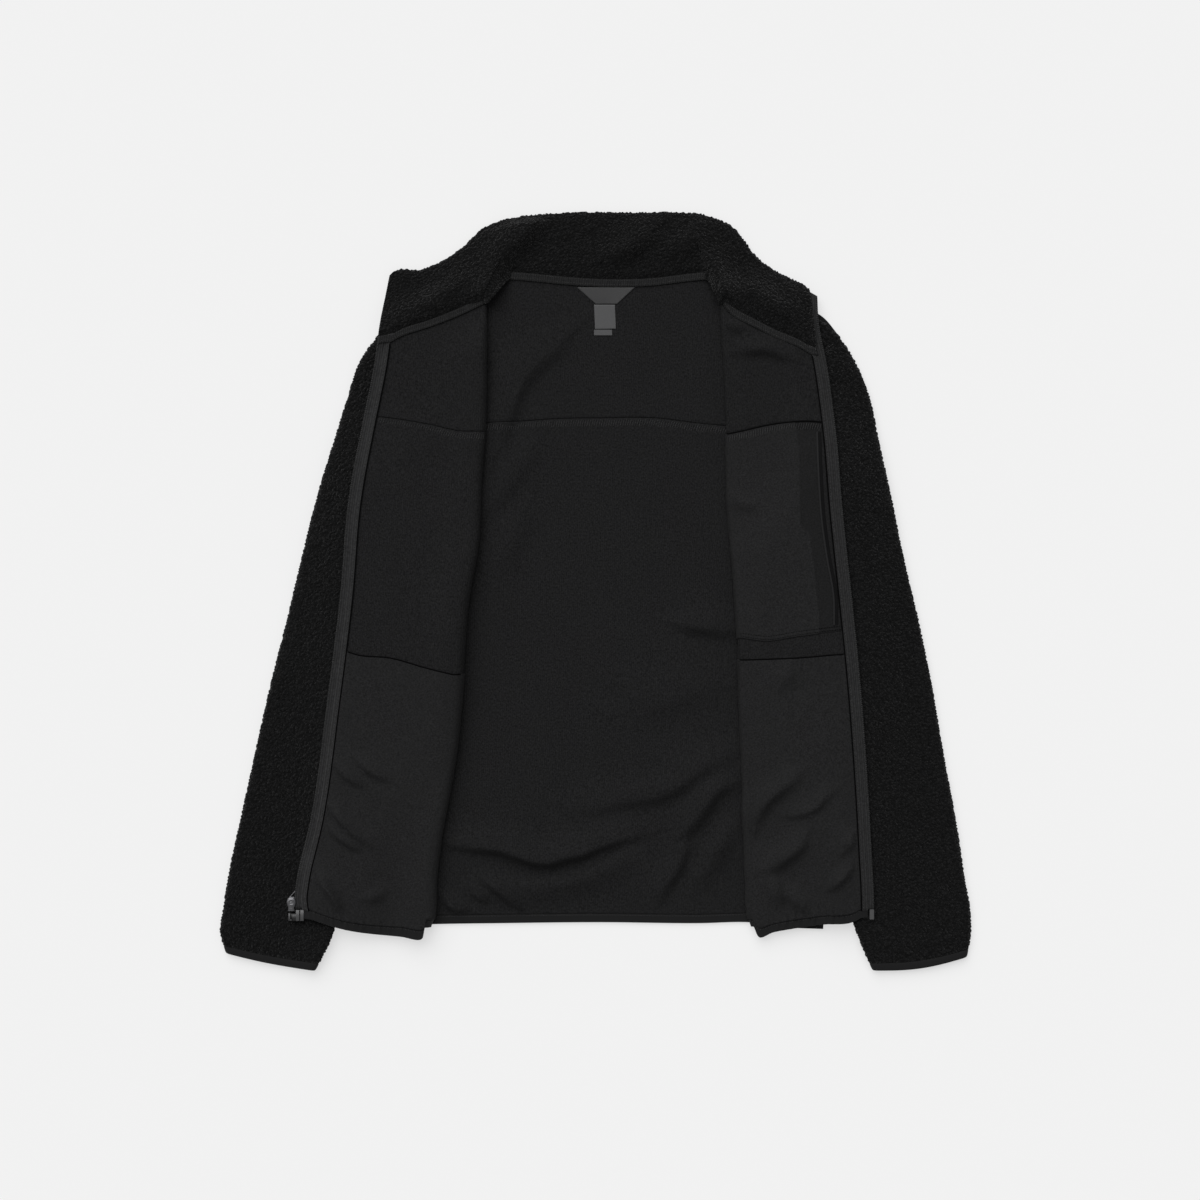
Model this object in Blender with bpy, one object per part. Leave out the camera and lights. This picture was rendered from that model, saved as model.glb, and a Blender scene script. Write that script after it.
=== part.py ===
"""Sherpa fleece jacket, opened out and laid flat on its back with its inside facing up.

Metres in Blender, +Z up. Tables and sizes below are in millimetres: X across the jacket, Y toward the
collar, Z up from the surface that it lies on. "Right" is the +X side as seen from above.

The back lies on the surface. Each front runs from the side seam in over the back, folds over along a
long soft fold and lies back out across the sleeve, so its inside shows too. Each sleeve is a flattened
tube that starts at the shoulder seam and lies over the side of the body.
"""

import math

import bmesh
import bpy
import numpy as np

MM = 0.001

# Cloth and trim thicknesses.
SHERPA = 3.4            # pile and smooth backing together
COLLAR = 7.0            # two layers of sherpa
TRIM = 1.0              # neck tape, facing strips and pocket bags
LABEL = 0.7
SEAM = 0.3              # between pieces that are sewn together
LOOSE = 0.5             # between layers that only lie on each other
SLEEVE_HOLLOW = 0.8     # inside the flattened sleeve
SLEEVE = 2 * SHERPA + SLEEVE_HOLLOW

# Heights of the layers where they lie flat.
FRONT_BASE = SHERPA + SEAM                      # underside of the front's lower layer
LAP_BASE = FRONT_BASE + SHERPA + LOOSE          # underside of what lies on both body layers
OVER_SLEEVE = SLEEVE + 2 * LOOSE                # what a sleeve adds to the layer above it

# Trim widths.
TAPE_WIDTH = 7.0        # zip tape past the front's edge
FACING_WIDTH = 7.0      # strip beside the zip tape
NECK_TAPE = 7.0         # tape on the collar's lower edge
BINDING = 9.0           # elastic binding at hem and cuffs
SHOULDER_TUCK = 4.0     # the front's lower layer ends this far inside the shoulder line

# Ramps: how far past an edge a layer stays up, and how far it then takes to come down.
SIDE_RAMP = (4.0, 72.0)
SLEEVE_EDGE_RAMP = (8.0, 26.0)
SLEEVE_END_RAMP = (268.0, 34.0)         # over Y
COLLAR_RAMP = (4.0, 38.0)
COLLAR_AT_FRONTS = (-80.0, 100.0, 38.0)         # the collar comes up past these X, over this width
ZIP_ONTO_COLLAR = (240.0, 30.0, 1.6)    # Y where the zip tape starts to climb, over this length, this high

# Outlines, as (x, y).
SIDE_RIGHT = [(257, 268), (238, 254), (229, 232), (225, 202), (228, 160), (239, 108), (255, 60),
              (268, 22), (264, -60), (254, -197), (243, -302), (239, -352)]
SIDE_LEFT = [(-230, 267), (-214, 254), (-206, 232), (-202, 202), (-205, 160), (-218, 108), (-234, 60),
             (-249, 22), (-250, -60), (-254, -197), (-259, -302), (-260, -352)]
BODY_RIGHT = [(258, 290), (262, 160), (268, 22), (264, -60), (254, -197), (243, -302), (238, -420)]
BODY_LEFT = [(-232, 290), (-240, 160), (-249, 22), (-250, -60), (-254, -197), (-259, -302), (-260, -420)]
NECK_BACK = [(-93, 329), (-68, 327), (-26, 323), (10, 321), (58, 322), (100, 327), (120, 329)]
SHOULDER_LEFT = [(-230, 267), (-173, 286), (-113, 304)]
SHOULDER_RIGHT = [(132, 304), (194, 303), (238, 290), (257, 268)]
FOLD_LEFT = [(-113, 302), (-113, 249), (-114, 174), (-118, 119), (-121, 57), (-133, -15), (-138, -82),
             (-147, -177), (-153, -213), (-160, -251), (-166, -297), (-169, -344), (-173, -357)]
FOLD_RIGHT = [(131, 301), (133, 265), (136, 214), (138, 139), (139, 94), (145, 25), (149, -36),
              (153, -144), (156, -220), (158, -297), (161, -343), (166, -358)]
ZIP_LEFT = [(-216, 331), (-224, 290), (-231, 240), (-243, 179), (-259, 89), (-270, 3), (-285, -113),
            (-300, -235), (-312, -302), (-314, -320), (-311, -341)]
ZIP_RIGHT = [(233, 310), (234, 285), (243, 238), (252, 170), (258, 94), (268, -2), (276, -80),
             (285, -197), (289, -266), (292, -327), (292, -341)]
COLLAR_TOP = [(-216, 331), (-209, 337), (-184, 338), (-159, 348), (-133, 367), (-121, 379), (-108, 386),
              (-89, 392), (-58, 396), (-21, 398), (52, 398), (93, 398), (113, 396), (131, 390), (144, 383),
              (156, 369), (169, 352), (194, 334), (218, 322), (233, 310)]
COLLAR_TOP_CORNERS = (0.225, 0.800)     # shares of COLLAR_TOP above the two fold corners
HEM_BACK = [(-260, -352), (-166, -348), (-98, -347), (5, -346), (112, -347), (160, -346), (200, -350),
            (239, -352)]

# Lines across each front's upper layer, from the fold to the zip: neck, yoke seam, foot of the chest
# pocket bag, top of the lower one, hem binding and hem. Each row: name, y on the side edge, y on the
# fold, y on the zip, points between.
FRONT_LINES = {
    "left": [
        ("neck", 268, 302, 262, [(-142, 290), (-173, 278), (-205, 267)]),
        ("yoke", 176, 168, 184, [(-140, 168.5), (-170, 175), (-205, 181)]),
        ("chest", -30, -36, -16, [(-200, -26)]),
        ("bag", -62, -85, -61, [(-177, -78), (-213, -68), (-250, -64)]),
        ("binding", -344, -342, -331, [(-178, -350), (-203, -350), (-266, -342), (-298, -336)]),
        ("hem", -352.5, -350, -341, [(-180, -361), (-203, -360), (-266, -351), (-300, -345)]),
    ],
    "right": [
        ("neck", 268, 301, 249, [(142, 292), (163, 280), (189, 267), (215, 256)]),
        ("yoke", 176, 166, 178, [(159, 170), (176, 174), (203, 178), (225, 179)]),
        ("chest", -30, -48, -40, [(180, -51), (206, -47), (235, -43)]),
        ("bag", -62, -70, -64, [(185, -69), (224, -67), (245, -65)]),
        ("binding", -344, -342, -331, [(172, -351), (186, -347), (207, -343), (239, -338), (270, -335)]),
        ("hem", -352.5, -350, -340, [(172, -361), (186, -356), (207, -352), (239, -347), (270, -344)]),
    ],
}
ROWS_BETWEEN = {"yoke": 6, "chest": 8, "bag": 2, "binding": 11, "hem": 1}
YOKE_ROW, CHEST_ROW, BAG_ROW, BINDING_ROW, HEM_ROW = 6, 14, 16, 27, 28
YOKE_BACK = [(-70, 180), (-43, 182), (8, 183), (62, 183), (105, 178), (135, 175)]

# Sleeves: a row for each station from the shoulder seam to the cuff, as inner and outer edge.
SLEEVE_RIGHT = [((239.3, 252.8), (258.1, 266.8)), ((232, 230), (270, 247)), ((228, 202), (288, 204)),
                ((231, 165), (297, 160)), ((237, 128), (311, 97)), ((222, 92), (324, 34)),
                ((188, 40), (339, -29)), ((176, -40), (352, -92)), ((203, -155), (365, -167)),
                ((234, -246), (379, -243)), ((256, -306), (388, -302)), ((270, -345), (393.5, -335)),
                ((279, -369), (394, -358)), ((291, -396), (390, -382))]
SLEEVE_LEFT = [((-215.1, 252.9), (-231.0, 265.9)), ((-209, 230), (-246, 243)), ((-205, 202), (-260, 202)),
               ((-208, 165), (-273, 160)), ((-215, 128), (-292, 97)), ((-200, 92), (-308, 34)),
               ((-172, 40), (-323, -29)), ((-164, -40), (-339, -92)), ((-196, -155), (-356, -167)),
               ((-230, -235), (-371, -235)), ((-255, -300), (-382, -285)), ((-270, -345), (-390, -333)),
               ((-279, -369), (-393, -355)), ((-293, -396), (-387, -378))]
SLEEVE_STATIONS = (13, 12, 0.44, 1.4)           # rows to a share of the length, rows below, share, crowding
SLEEVE_SHARES = [0.12, 0.25, 0.38, 0.5, 0.62, 0.75, 0.88]   # columns between the sleeve's two edges
SLEEVE_RISE = (112, 206)                        # Y over which the sleeve comes down to its shoulder end
CUFF_BOW = {"right": 5.0, "left": 2.0}          # how far the middle of each cuff reaches past its ends

# Largest folds, as ridges: height, half width, points of the crest.
BACK_FOLDS = [
    (4.0, 15, [(-150, -262), (-98, -280), (-45, -283), (5, -262), (62, -240)]),
    (3.5, 15, [(-128, -303), (-60, -309), (0, -292), (45, -268)]),
    (4.0, 14, [(20, -256), (80, -226), (128, -200)]),
    (3.5, 13, [(92, -306), (122, -266), (138, -236)]),
    (2.5, 11, [(86, -42), (112, -46), (134, -50)]),
]
FRONT_FOLDS = [
    (2.5, 10, [(182, -180), (204, -238), (222, -300)]),
    (2.0, 10, [(206, -170), (226, -224), (240, -280)]),
    (2.0, 12, [(-276, -186), (-252, -226), (-228, -262)]),
    (2.5, 9, [(-294, -300), (-280, -318), (-266, -334)]),
]
SLIDER_LIFT = (3.8, 34.0, -309.0, -318.0)       # the left zip end rides on its slider: height, radius, x, y

# Zip hardware. Heights are from the underside of the front's upper layer at the slider.
COIL, COIL_DROP = 2.0, 0.4
TAPE, TAPE_RISE = 1.2, 1.2
SLIDER_CENTRE = (-317.0, -325.5)
SLIDER_WIDTH, SLIDER_LENGTH = 9.6, 14.5
SLIDER_LOWER, SLIDER_UPPER = (-0.9, 0.3), (3.8, 4.9)
SLIDER_POST = (-3.6, -0.5, 2.0, 5.6)            # from the slider's centre: left, right, near, far
PIVOT = (-318.0, -321.0)
PIVOT_RADIUS, PIVOT_HEAD_RADIUS = 1.0, 2.1
PIVOT_HEAD = (-3.3, -2.7)
TAB_LENGTH, TAB_WIDTH, TAB_EYE_RADIUS = 24.0, 6.0, 1.4
TAB_LEVEL = (-2.3, -1.2)
TAB_TURN = math.radians(42)                     # from +Y toward +X
TAPE_END = -331.0
BOX = [(-321, -343), (-305.8, -343), (-305.8, -331.3), (-313.2, -331.3), (-313.2, -335.5), (-321, -335.5)]
PIN = [(287, -342), (291.8, -342), (291.8, -331.3), (287, -331.3)]
BOX_HEIGHT, PIN_HEIGHT = 4.2, 2.4


# ---------------------------------------------------------------- lines and heights

def smooth_line(points, steps=10):
    """A smooth line through the points, with tangents weighted by the spans beside them."""
    points = np.array(points, float)
    spans = np.linalg.norm(np.diff(points, axis=0), axis=1)
    slopes = np.diff(points, axis=0) / spans[:, None]
    tangents = np.empty_like(points)
    tangents[0], tangents[-1] = slopes[0], slopes[-1]
    before, after = spans[:-1, None], spans[1:, None]
    tangents[1:-1] = (slopes[:-1] * after + slopes[1:] * before) / (before + after)
    line = [points[:1]]
    t = np.linspace(0, 1, steps + 1)[1:, None]
    for i, span in enumerate(spans):
        line.append((2 * t**3 - 3 * t**2 + 1) * points[i] + (t**3 - 2 * t**2 + t) * span * tangents[i]
                    + (3 * t**2 - 2 * t**3) * points[i + 1] + (t**3 - t**2) * span * tangents[i + 1])
    return np.vstack(line)


def at_shares(line, shares):
    """Points at the given shares of a line's length."""
    length = np.concatenate([[0], np.cumsum(np.linalg.norm(np.diff(line, axis=0), axis=1))])
    where = np.asarray(shares, float) * length[-1]
    return np.column_stack([np.interp(where, length, line[:, i]) for i in range(line.shape[1])])


def evenly(line, spans):
    return at_shares(line, np.linspace(0, 1, spans + 1))


def at_height(line, y):
    """The point of a line that runs down the jacket at the given y."""
    return np.array([np.interp(-y, -line[:, 1], line[:, 0]), y])


def between(line, y_from, y_to, spans):
    """Evenly spaced points of a line that runs down the jacket, from one y to another."""
    inside = line[(line[:, 1] < y_from) & (line[:, 1] > y_to)]
    return evenly(np.vstack([at_height(line, y_from), inside, at_height(line, y_to)]), spans)


def normals(line):
    """Unit normals, to the right of a line that runs down the jacket as seen from above: toward -X."""
    run = np.gradient(line, axis=0)
    run /= np.linalg.norm(run, axis=1)[:, None]
    return np.column_stack([run[:, 1], -run[:, 0]])


def patch(top, bottom, left, right):
    """A grid of rows and columns between four lines that share their corners."""
    rows, cols = len(left), len(top)
    v = np.linspace(0, 1, rows)[:, None, None]
    chord = np.linalg.norm(np.diff(top, axis=0), axis=1)
    u = (np.concatenate([[0], np.cumsum(chord)]) / chord.sum())[None, :, None]
    corners = ((1 - v) * ((1 - u) * top[0] + u * top[-1]) + v * ((1 - u) * bottom[0] + u * bottom[-1]))
    assert cols == len(bottom)
    return ((1 - v) * top[None] + v * bottom[None] + (1 - u) * left[:, None] + u * right[:, None] - corners)


def step(value):
    value = np.clip(value, 0, 1)
    return value * value * (3 - 2 * value)


def down_ramp(distance, margin, width):
    """1 up to the margin, then smoothly down to 0."""
    return 1 - step((distance - margin) / width)


def ridge(x, y, height, half_width, crest):
    """A long soft fold of the cloth that fades out at both ends."""
    crest = smooth_line(crest, 6)
    share = np.linspace(0, 1, len(crest))
    swell = np.sin(np.pi * np.clip(share, 0.02, 0.98)) ** 0.7
    gap = np.hypot(x[..., None] - crest[:, 0], y[..., None] - crest[:, 1])
    return height * np.max(swell * np.exp(-(gap / half_width) ** 2), axis=-1)


def across_at(edge, y):
    """X of an edge that runs down the jacket, at each y."""
    edge = np.array(edge, float)
    return np.interp(-y, -edge[:, 1], edge[:, 0])


def on_body(x, y):
    """1 over the body, falling to 0 past its sides."""
    right, left = x - across_at(BODY_RIGHT, y), across_at(BODY_LEFT, y) - x
    return down_ramp(right, *SIDE_RAMP) * down_ramp(left, *SIDE_RAMP)


def sleeve_base(x, y):
    """Underside of a sleeve."""
    return LAP_BASE * on_body(x, y) * (1 - step((y - SLEEVE_RISE[0]) / (SLEEVE_RISE[1] - SLEEVE_RISE[0])))


def on_sleeve(x, y):
    """1 over a sleeve, falling to 0 inside its inner edge and above its shoulder end."""
    share = np.zeros_like(x)
    for table, side in ((SLEEVE_RIGHT, 1), (SLEEVE_LEFT, -1)):
        inset = side * (across_at([row[0] for row in table], y) - x)
        share = np.maximum(share, down_ramp(inset, *SLEEVE_EDGE_RAMP))
    return share * down_ramp(y, *SLEEVE_END_RAMP)


def slider_lift(x, y):
    height, radius, centre_x, centre_y = SLIDER_LIFT
    return height * down_ramp(np.hypot(x - centre_x, y - centre_y), radius * 0.6, radius)


def lap_base(x, y):
    """Underside of a front's upper layer."""
    over = on_sleeve(x, y)
    flat = LAP_BASE * on_body(x, y)
    return (1 - over) * flat + over * (sleeve_base(x, y) + OVER_SLEEVE) + slider_lift(x, y)


def front_folds(x, y):
    return sum(ridge(x, y, *row) for row in FRONT_FOLDS)


def back_folds(x, y):
    return sum(ridge(x, y, *row) for row in BACK_FOLDS)


def collar_base(x, y):
    """Underside of the collar: on the surface behind the neck, on the shoulders at the fronts."""
    left, right, width = COLLAR_AT_FRONTS
    at_front = 1 - down_ramp(left - x, 0, width) * down_ramp(x - right, 0, width)
    shoulder = np.vstack([smooth_line(SHOULDER_LEFT), smooth_line(SHOULDER_RIGHT)])
    past = y - np.interp(x, shoulder[:, 0], shoulder[:, 1])
    return at_front * lap_base(x, y) * down_ramp(past, *COLLAR_RAMP)


def raised(plan, height):
    """Plan points with their height."""
    return np.dstack([plan, np.broadcast_to(height, plan.shape[:2])])


# ---------------------------------------------------------------- solids

def trimmed(grid, amount, rows=(True, True), cols=(False, False)):
    """The grid with its chosen border rows and columns drawn in, to leave room for a seam."""
    grid = grid.copy()
    for axis, ends in ((0, rows), (1, cols)):
        turned = np.moveaxis(grid, axis, 0)
        for wanted, edge, inside in ((ends[0], 0, 1), (ends[1], -1, -2)):
            if wanted:
                run = turned[inside] - turned[edge]
                turned[edge] += run * (amount / np.linalg.norm(run, axis=-1))[..., None]
    return grid


def add_object(name, vertices, faces, material):
    """A closed mesh object from points in millimetres, its faces pointing out."""
    mesh = bpy.data.meshes.new(name)
    mesh.from_pydata([tuple(p) for p in np.asarray(vertices) * MM], [], faces)
    shape = bmesh.new()
    shape.from_mesh(mesh)
    bmesh.ops.recalc_face_normals(shape, faces=shape.faces)
    if shape.calc_volume(signed=True) < 0:
        bmesh.ops.reverse_faces(shape, faces=shape.faces)
    shape.to_mesh(mesh)
    shape.free()
    mesh.materials.append(material)
    mesh.shade_smooth()
    mesh.set_sharp_from_angle(angle=math.radians(50))
    piece = bpy.data.objects.new(name, mesh)
    bpy.context.collection.objects.link(piece)
    return piece


def wall(name, lower, upper, material):
    """A cloth wall between two grids of the same rows and columns."""
    rows, cols = lower.shape[:2]
    count = rows * cols
    faces = []
    for r in range(rows - 1):
        for c in range(cols - 1):
            a, b, d, e = r * cols + c, r * cols + c + 1, (r + 1) * cols + c, (r + 1) * cols + c + 1
            faces += [(a, b, e), (a, e, d)]
            faces += [(a + count, e + count, b + count), (a + count, d + count, e + count)]
    border = [(0, c) for c in range(cols)] + [(r, cols - 1) for r in range(1, rows)]
    border += [(rows - 1, c) for c in range(cols - 2, -1, -1)] + [(r, 0) for r in range(rows - 2, 0, -1)]
    ring = [r * cols + c for r, c in border]
    for a, b in zip(ring, ring[1:] + ring[:1]):
        faces += [(b, a, a + count), (b, a + count, b + count)]
    return add_object(name, np.vstack([lower.reshape(-1, 3), upper.reshape(-1, 3)]), faces, material)


def tube(name, outer, inner, material):
    """A tube wall between two stacks of closed rings, open at both ends."""
    rows, around = outer.shape[:2]
    count = rows * around
    faces = []
    for r in range(rows - 1):
        for c in range(around):
            a, b = r * around + c, r * around + (c + 1) % around
            d, e = a + around, b + around
            faces += [(a, b, e), (a, e, d)]
            faces += [(a + count, e + count, b + count), (a + count, d + count, e + count)]
    for start in (0, (rows - 1) * around):
        for c in range(around):
            a, b = start + c, start + (c + 1) % around
            faces += [(b, a, a + count), (b, a + count, b + count)]
    return add_object(name, np.vstack([outer.reshape(-1, 3), inner.reshape(-1, 3)]), faces, material)


def plate(name, outline, bottom, thickness, material):
    """A flat plate of an outline, as (x, y) points."""
    shape = bmesh.new()
    face = shape.faces.new([shape.verts.new((x * MM, y * MM, bottom * MM)) for x, y in outline])
    moved = bmesh.ops.extrude_face_region(shape, geom=[face])
    tops = [item for item in moved["geom"] if isinstance(item, bmesh.types.BMVert)]
    bmesh.ops.translate(shape, verts=tops, vec=(0, 0, thickness * MM))
    mesh = bpy.data.meshes.new(name)
    shape.to_mesh(mesh)
    shape.free()
    points = np.array([v.co for v in mesh.vertices]) / MM
    return add_object(name, points, [tuple(p.vertices) for p in mesh.polygons], material)


def material(name, colour, roughness, metallic=0.0):
    made = bpy.data.materials.new(name)
    made.use_nodes = True
    shader = made.node_tree.nodes["Principled BSDF"]
    shader.inputs["Base Color"].default_value = (*colour, 1.0)
    shader.inputs["Roughness"].default_value = roughness
    shader.inputs["Metallic"].default_value = metallic
    made.diffuse_color = (*colour, 1.0)
    return made


# ---------------------------------------------------------------- back

def side_points(line, stops):
    """Rows along a side edge, with every seam and corner on a row of its own."""
    rows = [line[:1]]
    for y_from, (y_to, spans) in zip([line[0, 1]] + [s[0] for s in stops[:-1]], stops):
        rows.append(between(line, y_from, y_to, spans)[1:])
    return np.vstack(rows)


def side_rows(side):
    line = smooth_line(SIDE_RIGHT if side == "right" else SIDE_LEFT)
    lines = FRONT_LINES[side]
    stops = [(row[1], ROWS_BETWEEN[row[0]]) for row in lines[1:]]
    line[0, 1] = lines[0][1]
    return side_points(line, stops)


def neck_row():
    """Top edge of the back: shoulder, neck corner, neck, neck corner, shoulder."""
    left = evenly(smooth_line(SHOULDER_LEFT), 4)
    neck = evenly(smooth_line(NECK_BACK), 10)
    right = evenly(smooth_line(SHOULDER_RIGHT), 5)
    return np.vstack([left, neck, right])


def back_grid():
    """Plan points of the whole back, in rows from the neck to the hem."""
    top = neck_row()
    left, right = side_rows("left"), side_rows("right")
    cols = len(top)
    share = np.linspace(0, 1, cols)
    yoke = at_shares(smooth_line([left[YOKE_ROW], *YOKE_BACK, right[YOKE_ROW]]), share)
    hem = at_shares(smooth_line(HEM_BACK), share)
    hem[0], hem[-1] = left[HEM_ROW], right[HEM_ROW]
    binding = hem + np.array([0, BINDING])
    binding[0], binding[-1] = left[BINDING_ROW], right[BINDING_ROW]
    rows = [top[None]]
    stops = [(0, top), (YOKE_ROW, yoke), (BINDING_ROW, binding), (HEM_ROW, hem)]
    for (start, upper), (end, lower) in zip(stops, stops[1:]):
        rows.append(patch(upper, lower, left[start:end + 1], right[start:end + 1])[1:])
    return np.vstack(rows)


def build_back(fleece, binding):
    plan = back_grid()
    base = back_folds(plan[..., 0], plan[..., 1])
    lower, upper = raised(plan, base), raised(plan, base + SHERPA)
    pieces = (("back_yoke", 0, YOKE_ROW, fleece), ("back_body", YOKE_ROW, BINDING_ROW, fleece),
              ("hem_binding_back", BINDING_ROW, HEM_ROW, binding))
    for name, start, end, cloth in pieces:
        part = slice(start, end + 1)
        seams = (start > 0, end < HEM_ROW)
        wall(name, trimmed(lower[part], SEAM / 2, seams), trimmed(upper[part], SEAM / 2, seams), cloth)


# ---------------------------------------------------------------- fronts

FOLD_STEPS = 3          # points round the fold, between its two flat layers
LOWER_COLUMNS = 4
UPPER_SHARES = [0, 0.08, 0.19, 0.32, 0.46, 0.6, 0.74, 0.87, 1]


def front_grids(side):
    """Outer and inner skin of a whole front, in rows from neck to hem and columns from side to zip."""
    sign = 1 if side == "right" else -1
    fold = smooth_line(FOLD_RIGHT if side == "right" else FOLD_LEFT)
    zip_line = smooth_line(ZIP_RIGHT if side == "right" else ZIP_LEFT)
    toward_zip = -sign * normals(fold)
    reach = (lap_base(fold[:, 0], fold[:, 1]) + SHERPA - FRONT_BASE) / 2
    centre = fold + toward_zip * reach[:, None]
    edge = zip_line + sign * normals(zip_line) * (TAPE_WIDTH + SEAM)
    facing = zip_line + sign * normals(zip_line) * (TAPE_WIDTH + FACING_WIDTH)
    side_line = side_rows(side)

    lines = FRONT_LINES[side]
    uppers = []
    for name, side_y, fold_y, zip_y, points in lines:
        start, end = at_height(centre, fold_y), at_height(facing, zip_y)
        inner = [p for p in points if sign * (end[0] - p[0]) > 8]
        uppers.append(at_shares(smooth_line([start, *inner, end]), UPPER_SHARES))
    rows_upper, rows_edge = [uppers[0][None]], [at_height(edge, lines[0][3])[None]]
    for (above, over), (here, under) in zip(zip(lines, uppers), zip(lines[1:], uppers[1:])):
        spans = ROWS_BETWEEN[here[0]]
        left = between(centre, above[2], here[2], spans)
        right = between(facing, above[3], here[3], spans)
        rows_upper.append(patch(over, under, left, right)[1:])
        rows_edge.append(between(edge, above[3], here[3], spans)[1:])
    upper = np.concatenate([np.vstack(rows_upper), np.vstack(rows_edge)[:, None]], axis=1)
    centres = upper[:, 0]

    share = np.linspace(0, 1, LOWER_COLUMNS + 1)[None, :, None]
    lower = side_line[:, None] * (1 - share) + centres[:, None] * share
    shoulder = smooth_line(SHOULDER_RIGHT if side == "right" else SHOULDER_LEFT)
    lower[0, 1:-1, 1] = np.interp(lower[0, 1:-1, 0], shoulder[:, 0], shoulder[:, 1]) - SHOULDER_TUCK

    x, y = upper[..., 0], upper[..., 1]
    base = lap_base(x, y) + front_folds(x, y)
    outward = -sign * np.column_stack([np.ones(len(centres)), np.zeros(len(centres))])
    bends_outer, bends_inner = [], []
    low, high = FRONT_BASE, base[:, 0] + SHERPA
    middle, radius = (low + high) / 2, (high - low) / 2
    for i in range(1, FOLD_STEPS + 1):
        angle = -math.pi / 2 + math.pi * i / (FOLD_STEPS + 1)
        for bends, size in ((bends_outer, radius), (bends_inner, radius - SHERPA)):
            flat = centres + outward * (size * math.cos(angle))[:, None]
            bends.append(np.column_stack([flat, middle + size * math.sin(angle)]))
    outer = [raised(lower, FRONT_BASE), np.stack(bends_outer, 1), raised(upper, base + SHERPA)]
    inner = [raised(lower, FRONT_BASE + SHERPA), np.stack(bends_inner, 1), raised(upper, base)]
    return np.concatenate(outer, axis=1), np.concatenate(inner, axis=1)


def build_front(side, fleece, binding, tape, woven):
    outer, inner = front_grids(side)
    pieces = (("front_yoke_" + side, 0, YOKE_ROW, fleece),
              ("front_body_" + side, YOKE_ROW, BINDING_ROW, fleece),
              ("hem_binding_" + side, BINDING_ROW, HEM_ROW, binding))
    for name, start, end, cloth in pieces:
        part = slice(start, end + 1)
        seams = (start > 0, end < HEM_ROW)
        wall(name, trimmed(inner[part], SEAM / 2, seams), trimmed(outer[part], SEAM / 2, seams), cloth)
    first = LOWER_COLUMNS + 1 + FOLD_STEPS      # the upper layer's first column
    facing_column = outer.shape[1] - 2
    out = (outer - inner) / np.linalg.norm(outer - inner, axis=-1)[..., None]
    bag_columns = slice(first - 2, facing_column + 1)
    strips = [("zip_facing_" + side, slice(0, HEM_ROW + 1), slice(facing_column, facing_column + 2), tape,
               (True, False), (True, False)),
              ("pocket_bag_lower_" + side, slice(BAG_ROW, BINDING_ROW + 1), bag_columns, woven,
               (False, True), (False, True))]
    if side == "right":
        strips.append(("pocket_bag_chest", slice(YOKE_ROW, CHEST_ROW + 1), bag_columns, woven,
                       (True, False), (False, True)))
    for name, rows, cols, cloth, row_seams, column_seams in strips:
        near, far = (outer[rows, cols] + out[rows, cols] * height for height in (SEAM, SEAM + TRIM))
        near, far = (trimmed(grid, SEAM, row_seams, column_seams) for grid in (near, far))
        wall(name, near, far, cloth)
    return outer


# ---------------------------------------------------------------- sleeves

EDGE_STEPS = [(0.0, 0.5), (1.6, 0.14), (5.0, 0.0)]      # a sleeve's round edge: distance in, share of height
EDGE_ROOM = 6.5         # half the width below which the round edge is drawn narrower
COLUMN_ROOM = 0.4       # least space between the round edge and the columns


def sleeve_rings(table, bow):
    """Outer and inner rings of a flattened sleeve."""
    upper, lower, turn, crowding = SLEEVE_STATIONS
    left_over = np.linspace(1, 0, lower + 1)[1:] ** crowding
    shares = np.concatenate([np.linspace(0, turn, upper + 1), 1 - (1 - turn) * left_over])
    inner_edge = at_shares(smooth_line([row[0] for row in table]), shares)
    outer_edge = at_shares(smooth_line([row[1] for row in table]), shares)
    outer_rings, inner_rings = [], []
    for share, start, end in zip(shares, inner_edge, outer_edge):
        bulge = bow * step((share - 0.9) / 0.1)
        width = np.linalg.norm(end - start)
        across = (end - start) / width
        skins = ((outer_rings, 0.0, 0.0, SLEEVE), (inner_rings, SHERPA, SHERPA, SLEEVE_HOLLOW))
        for rings, inset, lift, height in skins:
            reach = min(1.0, (width / 2 - inset) / EDGE_ROOM)
            edge = [(inset + distance * reach, up) for distance, up in EDGE_STEPS]
            least = edge[-1][0] + COLUMN_ROOM
            columns = [min(max(width * s, least), width - least) for s in SLEEVE_SHARES]
            run = [d for d, up in edge] + columns + [width - d for d, up in reversed(edge)]
            low = [up for d, up in edge] + [0.0] * len(columns) + [up for d, up in reversed(edge)]
            ring_run = np.array(run + run[-2:0:-1])
            ring_share = np.array(low + [1 - up for up in low[-2:0:-1]])
            points = start + across * ring_run[:, None]
            points[:, 1] -= bulge * np.sin(np.pi * ring_run / width)
            base = sleeve_base(points[:, 0], points[:, 1])
            rings.append(np.column_stack([points, base + lift + height * ring_share]))
    return np.array(outer_rings), np.array(inner_rings)


def build_sleeve(side, sherpa, binding):
    bodies, cuffs = [], []
    for rings in sleeve_rings(SLEEVE_RIGHT if side == "right" else SLEEVE_LEFT, CUFF_BOW[side]):
        run = rings[-2] - rings[-1]
        cut = rings[-1] + run * (BINDING / np.linalg.norm(run, axis=-1))[:, None]
        bodies.append(trimmed(np.concatenate([rings[:-1], cut[None]]), SEAM / 2, (False, True)))
        cuffs.append(trimmed(np.stack([cut, rings[-1]]), SEAM / 2, (True, False)))
    tube("sleeve_" + side, *bodies, sherpa)
    tube("cuff_" + side, *cuffs, binding)


# ---------------------------------------------------------------- collar

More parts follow.
